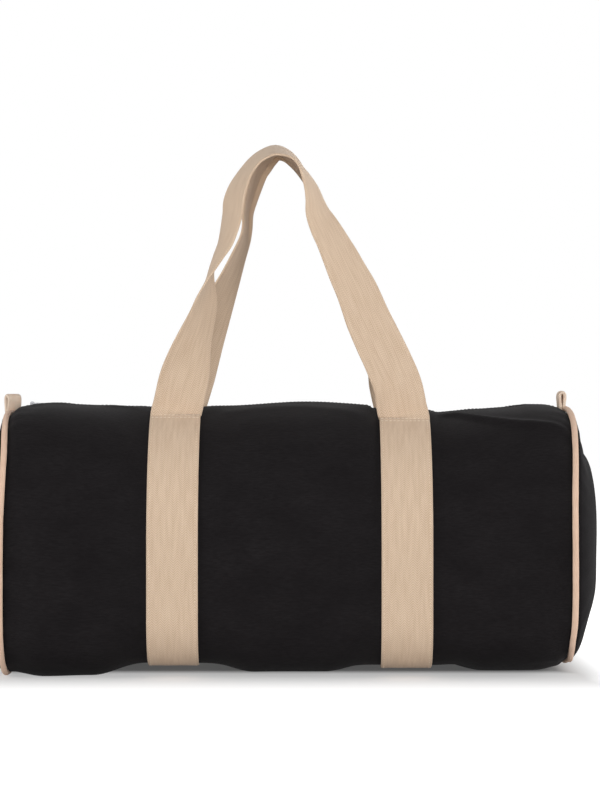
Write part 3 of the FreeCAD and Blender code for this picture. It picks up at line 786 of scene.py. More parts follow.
def make_body_panel():
    gap = sizes().zip_opening
    columns, spans = 190, 190
    end = SEAM_X - NECK_GAP
    rows = [(-SEAM_X + inward, depth) for inward, depth in TURNED_EDGES]
    rows += [(-end + 2 * end * step / spans, 0.0) for step in range(spans + 1)]
    rows += [(SEAM_X - inward, depth) for inward, depth in reversed(TURNED_EDGES)]
    points, flat_places = [], []
    for x, depth in rows:
        side = side_of(x)
        section = grown(barrel_section(max(-end, min(end, x))), -depth)
        whole = 2 * half_girth(section, gap)
        for step in range(columns + 1):
            distance = whole * step / columns
            point, out = outline_point(section, distance, gap)
            if depth == 0:
                point = point + out * canvas_relief(x, distance, whole)
            point.z += edge_lift(x, point) * (1 - near_strap(x, sizes().cinch_run))
            bow = side * seam_bow(side, section, distance, gap) * smooth(1 - (SEAM_X - abs(x)) / BOW_RUN)
            points.append(Vector((x + bow, point.y, max(point.z, 0.0))))
            flat_places.append((x, distance))
    faces = grid_faces(len(rows), columns + 1)
    piece = mesh_object("body_panel_canvas", points, faces, flat_places, material("Black cotton canvas"))
    return thicken(piece, sizes().canvas_thick)


# Swell of an end panel: share of the way from its middle to its rim, reach beyond the rim in millimetres
DOME_SIDE = ((0, 23.3), (0.16, 22.8), (0.46, 20.5), (0.7, 16), (0.86, 10), (0.955, 4.5), (1, 0))
DOME_TOP = (
    (0, 23.3), (0.19, 22.6), (0.435, 19.8), (0.56, 16.9), (0.64, 13.4), (0.725, 6.3), (0.8, 2.4), (1, 0),
)
DOME_FOOT = (
    (0, 23.3), (0.33, 22), (0.51, 19.8), (0.6, 15.5), (0.66, 12), (0.72, 9), (0.8, 6.6), (0.9, 4.5),
    (0.97, 2), (1, 0),
)

# Slack of an end panel: height, swells for each metre, and how fast it grows from the rim
DOME_SLACK = 1.2 * MM
DOME_SWELLS = 16
DOME_SLACK_RATE = 6

# Puckers of an end panel: height, pitch, and how fast they rise from the rim and fade
DOME_PUCKER = 0.8 * MM
DOME_PUCKER_PITCH = 21 * MM
DOME_PUCKER_RISE = 14
DOME_PUCKER_FADE = 7


def dome_reach(share, upward):
    """Reach of an end panel at a share of the way to its rim; upward is 1 at the top and -1 at the foot."""
    side = along_line(DOME_SIDE, share)
    other = along_line(DOME_TOP if upward > 0 else DOME_FOOT, share)
    return (side + (other - side) * upward * upward) * MM


def dome_relief(side, point, distance, inside):
    """Slack and puckers of an end panel at a point; inside is 0 at the rim and 1 in the middle."""
    swell = noise.noise(Vector((point.y * DOME_SWELLS, point.z * DOME_SWELLS, side * 3.1)))
    wander = pucker_wander(distance, side * 7, 2.9)
    pucker = math.sin(2 * math.pi * distance / DOME_PUCKER_PITCH + wander) * DOME_PUCKER
    pucker *= smooth(inside * DOME_PUCKER_RISE) * math.exp(-inside * DOME_PUCKER_FADE)
    return swell * DOME_SLACK * smooth(inside * DOME_SLACK_RATE) + pucker


def make_end_panel(side):
    section = grown(seam_section(side), -PIPING_STAND)
    columns, rings = 180, 34
    middle = Vector((0, 0, (section.low + section.top) / 2))
    whole = 2 * half_girth(section)
    points, flat_places = [], []
    for inward, depth in TURNED_EDGES:
        turned = grown(section, -depth)
        for column in range(columns):
            distance = whole * column / columns
            point, _ = outline_point(turned, distance * half_girth(turned) * 2 / whole)
            point.z += edge_lift(side * SEAM_X, point)
            bow = seam_bow(side, section, distance)
            points.append(Vector((side * (SEAM_X + inward + bow), point.y, point.z)))
            flat_places.append((point.y, point.z))
    for ring in range(rings):
        share = 1 - ring / rings
        for column in range(columns):
            distance = whole * column / columns
            rim, _ = outline_point(section, distance)
            rim.z += edge_lift(side * SEAM_X, rim)
            spoke = rim - middle
            point = middle + spoke * share
            reach = dome_reach(share, spoke.z / spoke.length)
            bow = seam_bow(side, section, distance) * share ** 4
            x = SEAM_X + NECK_GAP + reach + dome_relief(side, point, distance, 1 - share) + bow
            points.append(Vector((side * x, point.y, point.z)))
            flat_places.append((point.y, point.z))
    points.append(Vector((side * (SEAM_X + NECK_GAP + DOME_SIDE[0][1] * MM), middle.y, middle.z)))
    flat_places.append((middle.y, middle.z))
    rows = len(TURNED_EDGES) + rings
    faces = grid_faces(rows, columns, closed=True)
    last = (rows - 1) * columns
    faces += [(last + column, last + (column + 1) % columns, len(points) - 1) for column in range(columns)]
    if side < 0:
        faces = [tuple(reversed(face)) for face in faces]
    name = f"end_panel_canvas_{ENDS[side]}"
    piece = mesh_object(name, points, faces, flat_places, material("Black cotton canvas"))
    return thicken(piece, sizes().canvas_thick)


# Piping, cords and bindings round the end seams

# Radius of the piping's cloth and of its cord as shares of the CAD piping's, how uneven they are, and how
# many swells each metre has
COVER_SHARE = 0.9
CORD_SHARE = 0.6
PIPING_UNEVEN = 0.05
PIPING_SWELLS = 60


def seam_stations(side, count=260):
    section = seam_section(side)
    whole = 2 * half_girth(section)
    stations = []
    for step in range(count):
        distance = whole * step / count
        point, out = outline_point(section, distance)
        point.x = side * (SEAM_X + seam_bow(side, section, distance))
        point.z += edge_lift(side * SEAM_X, point)
        stations.append((point, Vector((1, 0, 0)), out, distance))
    return stations


def circle_ring(radius, count=14):
    return [
        (radius * math.cos(2 * math.pi * step / count), radius * math.sin(2 * math.pi * step / count))
        for step in range(count)
    ]


def make_piping(side, radius, name, title):
    stations = []
    for point, across, out, along in seam_stations(side):
        uneven = 1 + PIPING_UNEVEN * noise.noise(Vector((along * PIPING_SWELLS, side * 5, radius * 900)))
        stations.append((point, across * uneven, out * uneven, along))
    return sweep(name, stations, [circle_ring(radius)] * len(stations), material(title), closed=True)


# Section of the folded binding tape: across the seam and out from it, in millimetres
BINDING_RING = (
    (-3.0, -6.3), (-3.0, -13.2), (3.0, -13.2), (3.0, -6.3), (2.4, -6.3), (2.4, -12.6), (-2.4, -12.6),
    (-2.4, -6.3),
)


def make_binding(side, name):
    ring = [(across * MM, out * MM) for across, out in BINDING_RING]
    stations = seam_stations(side)
    return sweep(name, stations, [ring] * len(stations), material("Black binding tape"), closed=True)


# Webbing

# Angle from the top at which a strap ends, and its distance from the canvas
STITCH_ANGLE = math.radians(22.5)
STRAP_GAP = 0.3 * MM

# Foot of a handle: how far it lies on the strap, then two places beyond the strap's end, each as a share of
# the strap's place along the barrel, a distance inwards and a height
FOOT_OVERLAP = 3 * MM
FOOT_TURN = ((0.995, 2.4 * MM, 2.6 * MM), (0.98, 2.6 * MM, 8 * MM))

# Steps along a handle's middle
HANDLE_STEPS = 190

# Routes of the handles from left to right: place across and height in millimetres, turn of the webbing in
# degrees, how far its edges cup in millimetres, and the roll of its rear margin in degrees
FRONT_ROUTE = (
    (-96.2, 257, 5, 0.5, 0), (-91.2, 277.6, 28, 0.5, 0), (-86, 297.4, 48, 0.5, 0),
    (-79.9, 317, 60, 1.5, 0), (-76, 333.4, 68, 3, 0), (-71.7, 356.7, 90, 4.5, 0), (-66, 373, 101, 4.5, 0),
    (-59.2, 387.4, 108, 3.5, 0), (-52.4, 411.7, 114, 1.5, 0), (-51, 423.4, 115, 0.8, 0),
    (-47.2, 436, 112, 0.5, 0), (-40.5, 448.8, 107, 0.5, 0), (-32, 459.6, 105, 0.5, 0),
    (-23, 466, 105, 0.5, 0), (-13, 469.3, 105, 0.5, 0), (-3, 466.5, 101, 0.5, 0), (5, 461, 96, 0.5, 0),
    (10, 454.2, 95, 0.5, 0), (13.5, 448.8, 98, 0.5, 0), (19.4, 436, 105, 0.5, 0),
    (23, 423.4, 111, 0.5, 0), (26.1, 411.7, 120, 0.5, 0), (32.4, 398.2, 127, 0.5, 0),
    (38.2, 387.4, 130, 0.5, 0), (45.4, 373, 136, 0.5, 0), (53, 356.7, 142, 0.5, 0),
    (60.1, 342.3, 147, 0.5, 0), (65.5, 328.8, 151, 0.5, 0), (70, 317, 155, 0.5, 0),
    (78.9, 297.4, 160, 0.5, 0), (88.2, 277.6, 163, 0.5, 0), (96.3, 257, 168, 0.5, 0),
)
BACK_ROUTE = (
    (-94, 259, 8, 0.5, 0), (-86.4, 280, 27, 0.5, 0), (-79.2, 299, 40, 0.5, 0), (-69.6, 322, 53, 0.5, 0),
    (-64.4, 335.8, 58, 0.5, 0), (-54.6, 359, 69, 0.5, 0), (-48, 376, 75, 0.5, 0), (-43, 390.5, 80, 0.5, 12),
    (-41.4, 401.6, 84, 0.5, 35), (-41, 415.3, 84.5, 0.5, 50), (-38.6, 427.3, 82, 0.5, 56),
    (-34.9, 440, 80, 0.5, 60), (-30.1, 453, 79, 0.5, 62), (-26.5, 458.5, 79, 0.5, 62),
    (-20.5, 465, 83, 0.5, 60), (-12, 470.3, 88, 0.5, 50), (-4, 468.3, 88, 0.5, 35), (3.5, 461.8, 86, 0.5, 20),
    (11, 452, 85, 0.5, 5), (18, 440.5, 85, 0.5, 0), (29, 417, 86, 0.5, 0), (39, 391, 88, 0.5, 0),
    (46, 375, 91, 0.5, 0), (55, 357, 98, 0.5, 0), (67, 333, 112, 0.5, 0), (74.5, 317, 121, 0.5, 0),
    (83, 297, 132, 0.5, 0), (90.5, 274, 152, 0.5, 0), (95, 258, 172, 0.5, 0),
)

# Place that the front handle leans to from its hinge; the back handle mirrors it
HANDLE_TOP = Vector((0, -24.5 * MM, 469 * MM))


def strap_section(x):
    """Line of the middle of the webbing's thickness round the canvas."""
    return grown(barrel_section(x), STRAP_GAP + sizes().webbing_thick / 2)


def strap_point(x, distance):
    section = strap_section(x)
    point, out = outline_point(section, distance)
    point.x = x
    return point, out


def strap_ends(x):
    section = strap_section(x)
    start = section.radius * STITCH_ANGLE
    return start, 2 * half_girth(section) - start


def make_strap(side):
    x = side * STRAP_X
    start, end = strap_ends(x)
    stations = []
    count = 200
    for step in range(count + 1):
        distance = start + (end - start) * step / count
        point, out = strap_point(x, distance)
        stations.append((point, Vector((1, 0, 0)), out, distance))
    name = f"strap_webbing_{ENDS[side]}"
    ring = ribbon_section(WEBBING_WIDTH, sizes().webbing_thick)
    return sweep(name, stations, [ring] * len(stations), material("Natural herringbone webbing"))


def handle_foot(x, way):
    """Places where the webbing leaves a strap's end and turns upwards; way is -1 in front and 1 behind."""
    start, _ = strap_ends(x)
    first, _ = strap_point(x, start)
    before, _ = strap_point(x, start + FOOT_OVERLAP)
    places = [(1, before.y, before.z), (1, first.y, first.z)]
    places += [(share, first.y + inwards, first.z + up) for share, inwards, up in FOOT_TURN]
    return [(x * share, -way * y, z) for share, y, z in places]


def handle_places(route, way):
    """Points along a handle's middle, each with its turn in degrees, cup in metres and roll in degrees."""
    lefts = [(*place, 0.0, 0.0, 0.0) for place in handle_foot(-STRAP_X, way)]
    rights = [(*place, 180.0, 0.0, 0.0) for place in reversed(handle_foot(STRAP_X, way))]
    lean = (HANDLE_TOP.y - HINGE.y) / (HANDLE_TOP.z - HINGE.z)
    arch = [
        (x * MM, -way * (HINGE.y + lean * (z * MM - HINGE.z)), z * MM, turn, cup * MM, roll)
        for x, z, turn, cup, roll in route
    ]
    return through(lefts + arch + rights, HANDLE_STEPS)


def make_handle(name, route, way):
    places = handle_places(route, way)
    stations, rings = [], []
    for (here, heading, along), (turn, cup, roll) in zip(travel(places), [place[3:] for place in places]):
        forward = Vector((0, -1, 0))
        forward = (forward - heading * forward.dot(heading)).normalized()
        angle = math.radians(turn)
        out = forward * math.cos(angle) + heading.cross(forward) * math.sin(angle)
        stations.append((here, out.cross(heading), out, along))
        rings.append(ribbon_section(WEBBING_WIDTH, sizes().webbing_thick, cup, math.radians(roll)))
    return sweep(name, stations, rings, material("Natural herringbone webbing"))


# End loops: the fold seen from the side, across and up in millimetres
LOOP_FOLD = (
    (-1.3, -3), (-1.4, 0), (-1.75, 4), (-2.15, 8), (-2.4, 11.5), (-1.9, 14.3), (0, 15.7), (1.9, 14.3),
    (2.4, 11.5), (2.15, 8), (1.75, 4), (1.4, 0), (1.3, -3),
)
LOOP_TAPE = 14 * MM
LOOP_STEPS = 60

# Each loop: place of its foot, turn about its own upright and lean outwards in degrees, and how far it gapes
LOOPS = {
    -1: (Vector((-252.4 * MM, 0, 232 * MM)), -56, 0, 1.35),
    1: (Vector((246.6 * MM, 0, 234.8 * MM)), 4, 1, 1.0),
}


def make_loop(side):
    """Folded tape, turned about its own upright and leaning outwards."""
    place, turn, lean, gape = LOOPS[side]
    upright = Matrix.Rotation(math.radians(turn), 3, "Z")
    rotation = Matrix.Rotation(math.radians(lean) * side, 3, "Y") @ upright
    fold = through([(across * gape * MM, 0.0, up * MM) for across, up in LOOP_FOLD], LOOP_STEPS)
    across = Vector((0, 1, 0))
    stations = [
        (rotation @ here + place, rotation @ across, rotation @ heading.cross(across), along)
        for here, heading, along in travel(fold)
    ]
    ring = ribbon_section(LOOP_TAPE, sizes().loop_thick)
    return sweep(f"loop_tape_{ENDS[side]}", stations, [ring] * len(stations), material("Natural twill tape"))


# Zip

# Stretch on which the chain's dip dies away towards both ends, and how far the chain lies below the canvas
ZIP_WINDOW = (200 * MM, 226 * MM)
CHAIN_BELOW = 0.9 * MM

# Teeth: length, width, distance from the zip's middle, and distance of the first and last from the row's ends
TOOTH_LENGTH = 1.9 * MM
TOOTH_WIDTH = 2.8 * MM
TOOTH_ROW = 1.9 * MM
TOOTH_INSET = 0.9 * MM

# Bead along the edge of each tape: inner and outer distance from the zip's middle, and height
BEAD_INNER = 1.6 * MM
BEAD_OUTER = 3.2 * MM
BEAD_HEIGHT = 1.5 * MM


def zip_dip(x):
    """How far the zip's chain dips with the canvas; straight near both ends of the slider's travel."""
    spare = along_line(TOP_LINE, x / MM) * MM - CHAIN_BELOW - ROW_HIGH.z
    window = 1 - smooth((abs(x) - ZIP_WINDOW[0]) / (ZIP_WINDOW[1] - ZIP_WINDOW[0]))
    return min(spare, 0.0) * window


def zip_line(start, end, y, z, count=160):
    places = [start + (end - start) * step / count for step in range(count + 1)]
    return [Vector((x, y, z + zip_dip(x))) for x in places]


def strip_along_zip(name, ring, start, end, z, title):
    across, up = Vector((0, 1, 0)), Vector((0, 0, 1))
    stations = [(point, across, up, point.x) for point in zip_line(start, end, 0.0, z)]
    return sweep(name, stations, [ring] * len(stations), material(title))


def box_ring(low_y, high_y, low_z, high_z):
    return [(low_y, low_z), (high_y, low_z), (high_y, high_z), (low_y, high_z)]


def make_zip_tape(node):
    low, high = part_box(node)
    ring = box_ring(low.y, high.y, low.z - high.z, 0.0)
    return strip_along_zip(f"{node}_cloth", ring, low.x, high.x, high.z, "Black zip tape")


def make_zip_bead(row, way):
    ring = box_ring(way * BEAD_INNER, way * BEAD_OUTER, 0.0, BEAD_HEIGHT)
    return strip_along_zip(f"zip_bead_{row}", ring, ROW_LOW.x, ROW_HIGH.x, TAPE_TOP, "Black zip tape")


# Geometry Nodes: pieces set at an even pitch along lines

def pitch_tree(name, add_unit):
    """Tree that sets one unit at an even pitch along every line of its input, pointing along the line."""
    tree = bpy.data.node_groups.new(name, "GeometryNodeTree")
    kinds = (
        ("Geometry", "NodeSocketGeometry"), ("Pitch", "NodeSocketFloat"), ("Length", "NodeSocketFloat"),
        ("Width", "NodeSocketFloat"), ("Height", "NodeSocketFloat"), ("Material", "NodeSocketMaterial"),
    )
    for title, kind in kinds:
        tree.interface.new_socket(title, in_out="INPUT", socket_type=kind)
    tree.interface.new_socket("Geometry", in_out="OUTPUT", socket_type="NodeSocketGeometry")
    given = add_node(tree, "NodeGroupInput").outputs
    curve = add_node(tree, "GeometryNodeMeshToCurve", {"Mesh": given["Geometry"]})
    even = {"Curve": curve.outputs[0], "Length": given["Pitch"]}
    spots = add_node(tree, "GeometryNodeCurveToPoints", even, mode="LENGTH")
    ahead = {"Vector": spots.outputs["Tangent"]}
    heading = add_node(tree, "FunctionNodeAlignRotationToVector", ahead, axis="X", pivot_axis="Z")
    size = {"X": given["Length"], "Y": given["Width"], "Z": given["Height"]}
    shape = add_node(tree, "ShaderNodeCombineXYZ", size)
    unit = add_unit(tree)
    placed = add_node(
        tree,
        "GeometryNodeInstanceOnPoints",
        {
            "Points": spots.outputs["Points"],
            "Instance": unit,
            "Rotation": heading.outputs[0],
            "Scale": shape.outputs[0],
        },
    )
    real = add_node(tree, "GeometryNodeRealizeInstances", {"Geometry": placed.outputs[0]})
    rounded = add_node(tree, "GeometryNodeSetShadeSmooth", {"Geometry": real.outputs[0]})
    painted = add_node(
        tree, "GeometryNodeSetMaterial", {"Geometry": rounded.outputs[0], "Material": given["Material"]}
    )
    add_node(tree, "NodeGroupOutput", {"Geometry": painted.outputs[0]})
    return tree


def add_stitch(tree):
    """Round-ended stitch, 1 long, 1 wide and 1 high."""
    ball = add_node(tree, "GeometryNodeMeshUVSphere", {"Segments": 8, "Rings": 6, "Radius": 0.5})
    return ball.outputs["Mesh"]


def add_tooth(tree):
    """Tooth with softened edges, 1 long, 1 wide and 1 high."""
    block = add_node(tree, "GeometryNodeMeshCube", {"Size": (1, 1, 1)})
    soft = {"Mesh": block.outputs["Mesh"], "Level": 2, "Edge Crease": 0.8}
    return add_node(tree, "GeometryNodeSubdivisionSurface", soft).outputs[0]


def set_along(name, lines, tree_name, add_unit, pitch, size, title):
    """Plain mesh of units set along lines, each a list of points."""
    points, edges = [], []
    for line in lines:
        edges += [(len(points) + step, len(points) + step + 1) for step in range(len(line) - 1)]
        points += line
    mesh = bpy.data.meshes.new(name)
    mesh.from_pydata([tuple(point) for point in points], edges, [])
    piece = bpy.data.objects.new(name, mesh)
    bpy.context.scene.collection.objects.link(piece)
    tree = bpy.data.node_groups.get(tree_name) or pitch_tree(tree_name, add_unit)
    modifier = piece.modifiers.new(tree_name, "NODES")
    modifier.node_group = tree
    values = {"Pitch": pitch, "Material": material(title), **dict(zip(("Length", "Width", "Height"), size))}
    for socket in tree.interface.items_tree:
        if socket.in_out == "INPUT" and socket.name in values:
            modifier[socket.identifier] = values[socket.name]
    return apply_modifiers(piece)


def set_stitches(name, lines, title):
    thread = 2 * sizes().thread_radius
    size = (sizes().stitch_length, thread, thread)
    return set_along(name, lines, "Stitches along seams", add_stitch, sizes().stitch_pitch, size, title)


def make_teeth(node, way):
    low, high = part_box(node)
    row = extent_of(node)
    offset = 0.0 if way > 0 else sizes().tooth_pitch / 2
    start, end = low.x + TOOTH_INSET + offset, high.x - TOOTH_INSET
    lines = [zip_line(start, end, way * TOOTH_ROW, low.z + row.z / 2)]
    size = (TOOTH_LENGTH, TOOTH_WIDTH, row.z)
    pitch, title = sizes().tooth_pitch, "Black moulded teeth"
    return set_along(f"{node}_moulded", lines, "Teeth along a zip", add_tooth, pitch, size, title)


# Stitching: distances of the cross rows from a strap's end, of the long rows from the webbing's edges and of
# the hem's rows from the zip opening, where the hem's rows end, and how far a thread's middle stands out
END_ROWS = (2 * MM, 7 * MM)
EDGE_ROW = 2.5 * MM
HEM_ROW = 4 * MM
HEM_END = 238 * MM
THREAD_STAND = 0.1 * MM

# Points on each half of a cross row, and steps of a long row and of a hem's row
CROSS_STEPS = 10
EDGE_STEPS = 200
HEM_STEPS = 190


def strap_stitch_lines(side):
    """Two rows across each end of a strap, and one row inside each edge."""
    x = side * STRAP_X
    start, end = strap_ends(x)
    proud = sizes().webbing_thick / 2 + THREAD_STAND
    half = WEBBING_WIDTH / 2 - EDGE_ROW
    lines = []
    for distance in [start + row for row in END_ROWS] + [end - row for row in END_ROWS]:
        point, out = strap_point(x, distance)
        middle = point + out * proud
        steps = range(-CROSS_STEPS, CROSS_STEPS + 1)
        lines.append([middle + Vector((half * step / CROSS_STEPS, 0, 0)) for step in steps])
    first, last = start + END_ROWS[-1], end - END_ROWS[-1]
    for edge in (-half, half):
        line = []
        for step in range(EDGE_STEPS + 1):
            point, out = strap_point(x, first + (last - first) * step / EDGE_STEPS)
            line.append(point + out * proud + Vector((edge, 0, 0)))
        lines.append(line)
    return lines


def hem_stitch_lines():
    """One row along each edge of the zip opening."""
    gap = sizes().zip_opening
    lines = []
    for back in (False, True):
        line = []
        for step in range(HEM_STEPS + 1):
            x = -HEM_END + 2 * HEM_END * step / HEM_STEPS
            section = barrel_section(x)
            whole = 2 * half_girth(section, gap)
            distance = whole - HEM_ROW if back else HEM_ROW
            point, out = outline_point(section, distance, gap)
            point = point + out * (canvas_relief(x, distance, whole) + THREAD_STAND)
            line.append(Vector((x, point.y, point.z)))
        lines.append(line)
    return lines


# Operators

class BAG_OT_body_panel(bpy.types.Operator):
    """Canvas round the barrel, drawn in by the straps and puckered at its end seams."""

    bl_idname = "bag.body_panel"
    bl_label = "Body panel"

    def execute(self, context):
        dress(make_body_panel(), "bag", "canvas_black", "body_panel")
        return {"FINISHED"}


class BAG_OT_end_panels(bpy.types.Operator):
    """Domed canvas ends."""

    bl_idname = "bag.end_panels"
    bl_label = "End panels"

    def execute(self, context):
        for side, end in ENDS.items():
            dress(make_end_panel(side), "bag", "canvas_black", f"end_panel_{end}")
        return {"FINISHED"}


class BAG_OT_end_seams(bpy.types.Operator):
    """Piping with its cord, and binding tape over the raw edges inside, at both end seams."""

    bl_idname = "bag.end_seams"
    bl_label = "End seams"

    def execute(self, context):
        cover_radius, cord_radius = PIPING_RADIUS * COVER_SHARE, PIPING_RADIUS * CORD_SHARE
        for side, end in ENDS.items():
            cover = make_piping(side, cover_radius, f"piping_cover_{end}_cloth", "Natural cotton piping")
            dress(cover, "bag", "piping_natural", f"piping_cover_{end}")
            cord = make_piping(side, cord_radius, f"piping_cord_{end}_yarn", "Cotton cord filler")
            dress(cord, "bag", "cord_filler", f"piping_cord_{end}")
            tape = make_binding(side, f"seam_binding_{end}_tape")
            dress(tape, "bag", "binding_black", f"seam_binding_{end}")
        return {"FINISHED"}


class BAG_OT_straps(bpy.types.Operator):
    """Webbing straps round the barrel."""

    bl_idname = "bag.straps"
    bl_label = "Straps"

    def execute(self, context):
        for side, end in ENDS.items():
            dress(make_strap(side), "bag", "webbing_natural", f"strap_{end}")
        return {"FINISHED"}


class BAG_OT_handles(bpy.types.Operator):
    """Twisted webbing handles."""

    bl_idname = "bag.handles"
    bl_label = "Handles"

    def execute(self, context):
        for (way, row), route in zip(ROWS.items(), (FRONT_ROUTE, BACK_ROUTE)):
            piece = make_handle(f"{row}_handle_webbing", route, way)
            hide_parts(f"handle_{row}")
            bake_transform(piece)
        return {"FINISHED"}


class BAG_OT_loops(bpy.types.Operator):
    """Folded tapes at both ends of the zip."""

    bl_idname = "bag.loops"
    bl_label = "End loops"

    def execute(self, context):
        for side, end in ENDS.items():
            dress(make_loop(side), "bag", "loop_tape_natural", f"loop_tab_{end}")
        return {"FINISHED"}


class BAG_OT_zip(bpy.types.Operator):
    """Zip tapes, teeth, and plated slider, pull and stops."""

    bl_idname = "bag.zip"
    bl_label = "Zip"

    def execute(self, context):
        for way, row in ROWS.items():
            dress(make_zip_tape(f"zip_tape_{row}"), "bag", "zip_tape_black", f"zip_tape_{row}")
            dress(make_teeth(f"zip_teeth_{row}", way), "bag", "zip_teeth_black", f"zip_teeth_{row}")
            dress(make_zip_bead(row, way), "bag", "zip_teeth_black")
        for node in ("zip_slider", "zip_pull", "zip_top_stops", "zip_bottom_stop"):
            cad = frame["nodes"][node]
            cad.data.materials.clear()
            cad.data.materials.append(material("Plated metal"))
        return {"FINISHED"}


class BAG_OT_stitching(bpy.types.Operator):
    """Sewing thread on the straps and along the zip."""

    bl_idname = "bag.stitching"
    bl_label = "Stitching"

    def execute(self, context):
        strap_lines = strap_stitch_lines(-1) + strap_stitch_lines(1)
        strap_rows = set_stitches("strap_stitching", strap_lines, "Natural sewing thread")
        dress(strap_rows, "bag", "webbing_natural")
        hem_rows = set_stitches("zip_hem_stitching", hem_stitch_lines(), "Black sewing thread")
        dress(hem_rows, "bag", "canvas_black")
        return {"FINISHED"}


# Stage

# Floor: half its width, how far it lies below the bag, size of its faint specks, and the shares of its colour
# that show and that light the bag from below; the camera sees the darker share, lifted by a painted glow
FLOOR_HALF = 8.0
FLOOR_DROP = 0.3 * MM
FLOOR_SPECK = 50 * MM
FLOOR_SHOWN = (0.62, 0.63)
FLOOR_LIGHTS = 0.85

# Painted light: glow, seen only by the camera, that whitens the floor round the shadow and lifts the shadow
# itself: the places in metres between which it grows, then both levels
GLOW_BESIDE = (0.24, 0.29, 0.08, 1)
GLOW_FRONT = (-0.022, -0.06, 0.05, 0.43)
GLOW_FAR_FRONT = (-0.124, -0.3, 0, 0.62)
GLOW_BEHIND = (0.12, 0.3, 0.08, 1)
RAMP_SOCKETS = ("From Min", "From Max", "To Min", "To Max")

# Strength of the white surroundings as light on the bag
WORLD_LIGHT = 0.2


def shown_rays(tree):
    """1 for rays by which the camera sees, straight or by way of metal or glass; 0 for those that light."""
    path = add_node(tree, "ShaderNodeLightPath").outputs
    shown = path["Is Camera Ray"]
    for kind in ("Is Glossy Ray", "Is Transmission Ray"):
        shown = add_node(tree, "ShaderNodeMath", {0: shown, 1: path[kind]}, operation="MAXIMUM").outputs[0]
    return shown


def floor_material():
    """Pale floor that keeps a soft shadow, its tone set by a painted glow seen only by the camera, and is
    pure white elsewhere.
    """
    made, tree = new_material("Pale floor")
    darker, paler = [(*shaded(colours().floor, share), 1) for share in FLOOR_SHOWN]
    specks = {0: patches(tree, FLOOR_SPECK), 6: darker, 7: paler}
    tone = add_node(tree, "ShaderNodeMix", specks, data_type="RGBA").outputs[2]
    places = add_node(tree, "ShaderNodeTexCoord").outputs["Object"]
    parts = add_node(tree, "ShaderNodeSeparateXYZ", {0: places}).outputs
    beside = add_node(tree, "ShaderNodeMath", {0: parts[0]}, operation="ABSOLUTE").outputs[0]
    ramps = [(beside, GLOW_BESIDE)]
    ramps += [(parts[1], ramp) for ramp in (GLOW_FRONT, GLOW_FAR_FRONT, GLOW_BEHIND)]
    aside, front, far_front, behind = [
        add_node(tree, "ShaderNodeMapRange", {"Value": place, **dict(zip(RAMP_SOCKETS, ramp))}).outputs[0]
        for place, ramp in ramps
    ]
    ahead = add_node(tree, "ShaderNodeMath", {0: front, 1: far_front}, operation="ADD").outputs[0]
    around = add_node(tree, "ShaderNodeMath", {0: aside, 1: behind}, operation="MAXIMUM").outputs[0]
    away = add_node(tree, "ShaderNodeMath", {0: around, 1: ahead}, operation="MAXIMUM").outputs[0]
    shown = shown_rays(tree)
    # Painted light: the floor glows for the camera only, more the further it lies from the bag
    glow = add_node(tree, "ShaderNodeMath", {0: shown, 1: away}, operation="MULTIPLY").outputs[0]
    both_tones = {0: shown, 6: (*shaded(colours().floor, FLOOR_LIGHTS), 1), 7: tone}
    seen = add_node(tree, "ShaderNodeMix", both_tones, data_type="RGBA").outputs[2]
    plain = add_node(tree, "ShaderNodeBsdfDiffuse", {"Color": seen})
    lit = add_node(tree, "ShaderNodeEmission", {"Color": (1, 1, 1, 1), "Strength": glow})
    both = add_node(tree, "ShaderNodeAddShader", {0: plain.outputs[0], 1: lit.outputs[0]})
    add_node(tree, "ShaderNodeOutputMaterial", {"Surface": both.outputs[0]})
    return made


def add_world():
    """Even soft light; the camera sees it as pure white."""
    world = bpy.data.worlds.new("Studio")
    bpy.context.scene.world = world
    world.use_nodes = True
    tree = world.node_tree
    tree.nodes.clear()
    levels = {"Value": shown_rays(tree), "To Min": WORLD_LIGHT, "To Max": 1.0}
    level = add_node(tree, "ShaderNodeMapRange", levels).outputs[0]
    lit = add_node(tree, "ShaderNodeBackground", {"Color": (1, 1, 1, 1), "Strength": level})
    add_node(tree, "ShaderNodeOutputWorld", {"Surface": lit.outputs[0]})


# Softboxes: name, place and size in metres, and power in watts; all point at the middle of the bag
LAMPS = (
    ("Top softbox", (0.1, -0.4, 2.4), 2.2, 5),
    ("Left softbox", (-2.6, -1.2, 0.8), 1.6, 39),
    ("Right softbox", (2.8, -0.3, 0.5), 1.6, 40),
    ("Front right softbox", (2.0, -2.6, 0.8), 1.2, 17),
    ("Low front softbox", (0.3, -3.2, 0.12), 1.2, 53),
    ("Back softbox", (0.2, 2.6, 2.0), 2.0, 19),
)
LAMP_TARGET = Vector((0, 0, 0.18))

# Camera that gives the photo's perspective
CAMERA_PLACE = (0.00895, -2.8, 0.2436)
CAMERA_LENS = 138.42


def add_lamp(name, place, size, power):
    lamp = bpy.data.lights.new(name, "AREA")
    lamp.shape = "SQUARE"
    lamp.size = size
    lamp.energy = power
    holder = bpy.data.objects.new(name, lamp)
    holder.location = place
    aim = LAMP_TARGET - Vector(place)
    holder.rotation_euler = aim.to_track_quat("-Z", "Y").to_euler()
    bpy.context.scene.collection.objects.link(holder)


def add_camera():
    lens = bpy.data.cameras.new("Camera")
    lens.lens = CAMERA_LENS
    camera = bpy.data.objects.new("Camera", lens)
    camera.location = CAMERA_PLACE
    camera.rotation_euler = (math.pi / 2, 0, 0)
    bpy.context.scene.collection.objects.link(camera)
    bpy.context.scene.camera = camera


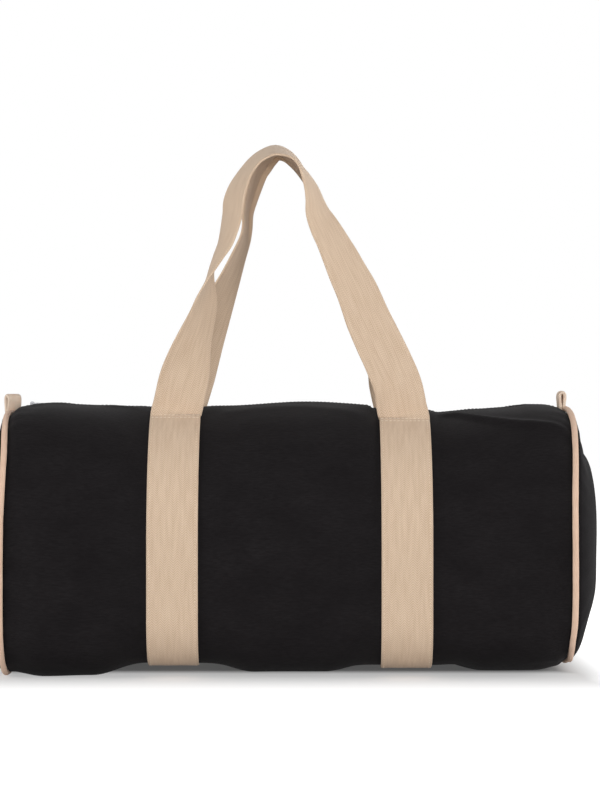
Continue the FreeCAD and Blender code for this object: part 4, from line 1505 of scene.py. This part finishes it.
class BAG_OT_stage(bpy.types.Operator):
    """Pale floor, soft light and the camera."""

    bl_idname = "bag.stage"
    bl_label = "Stage"

    def execute(self, context):
        corners = [(FLOOR_HALF * x, FLOOR_HALF * y, 0) for x, y in ((-1, -1), (1, -1), (1, 1), (-1, 1))]
        floor = mesh_object("Floor", corners, [(0, 1, 2, 3)], None, floor_material())
        floor.location.z = -FLOOR_DROP
        add_world()
        for lamp in LAMPS:
            add_lamp(*lamp)
        add_camera()
        context.scene.view_settings.view_transform = "Standard"
        return {"FINISHED"}


OPERATORS = (
    BAG_OT_body_panel,
    BAG_OT_end_panels,
    BAG_OT_end_seams,
    BAG_OT_straps,
    BAG_OT_handles,
    BAG_OT_loops,
    BAG_OT_zip,
    BAG_OT_stitching,
    BAG_OT_stage,
)


class BAG_PT_panel(bpy.types.Panel):
    """Sizes, colours and steps of the barrel bag."""

    bl_idname = "BAG_PT_panel"
    bl_label = "Barrel Bag"
    bl_space_type = "VIEW_3D"
    bl_region_type = "UI"
    bl_category = "Barrel Bag"

    def draw(self, context):
        for group in (context.scene.bag_sizes, context.scene.bag_colours):
            box = self.layout.box()
            for name in group.__annotations__:
                box.prop(group, name)
        for operator in OPERATORS:
            self.layout.operator(operator.bl_idname)


CLASSES = (BagSizes, BagColours, *OPERATORS, BAG_PT_panel)


def register():
    for kind in CLASSES:
        bpy.utils.register_class(kind)
    bpy.types.Scene.bag_sizes = bpy.props.PointerProperty(type=BagSizes)
    bpy.types.Scene.bag_colours = bpy.props.PointerProperty(type=BagColours)


def unregister():
    del bpy.types.Scene.bag_sizes
    del bpy.types.Scene.bag_colours
    for kind in reversed(CLASSES):
        bpy.utils.unregister_class(kind)


def main():
    register()
    bpy.ops.bag.body_panel()
    bpy.ops.bag.end_panels()
    bpy.ops.bag.end_seams()
    bpy.ops.bag.straps()
    bpy.ops.bag.handles()
    bpy.ops.bag.loops()
    bpy.ops.bag.zip()
    bpy.ops.bag.stitching()
    bpy.ops.bag.stage()


if __name__ == "__main__":
    main()
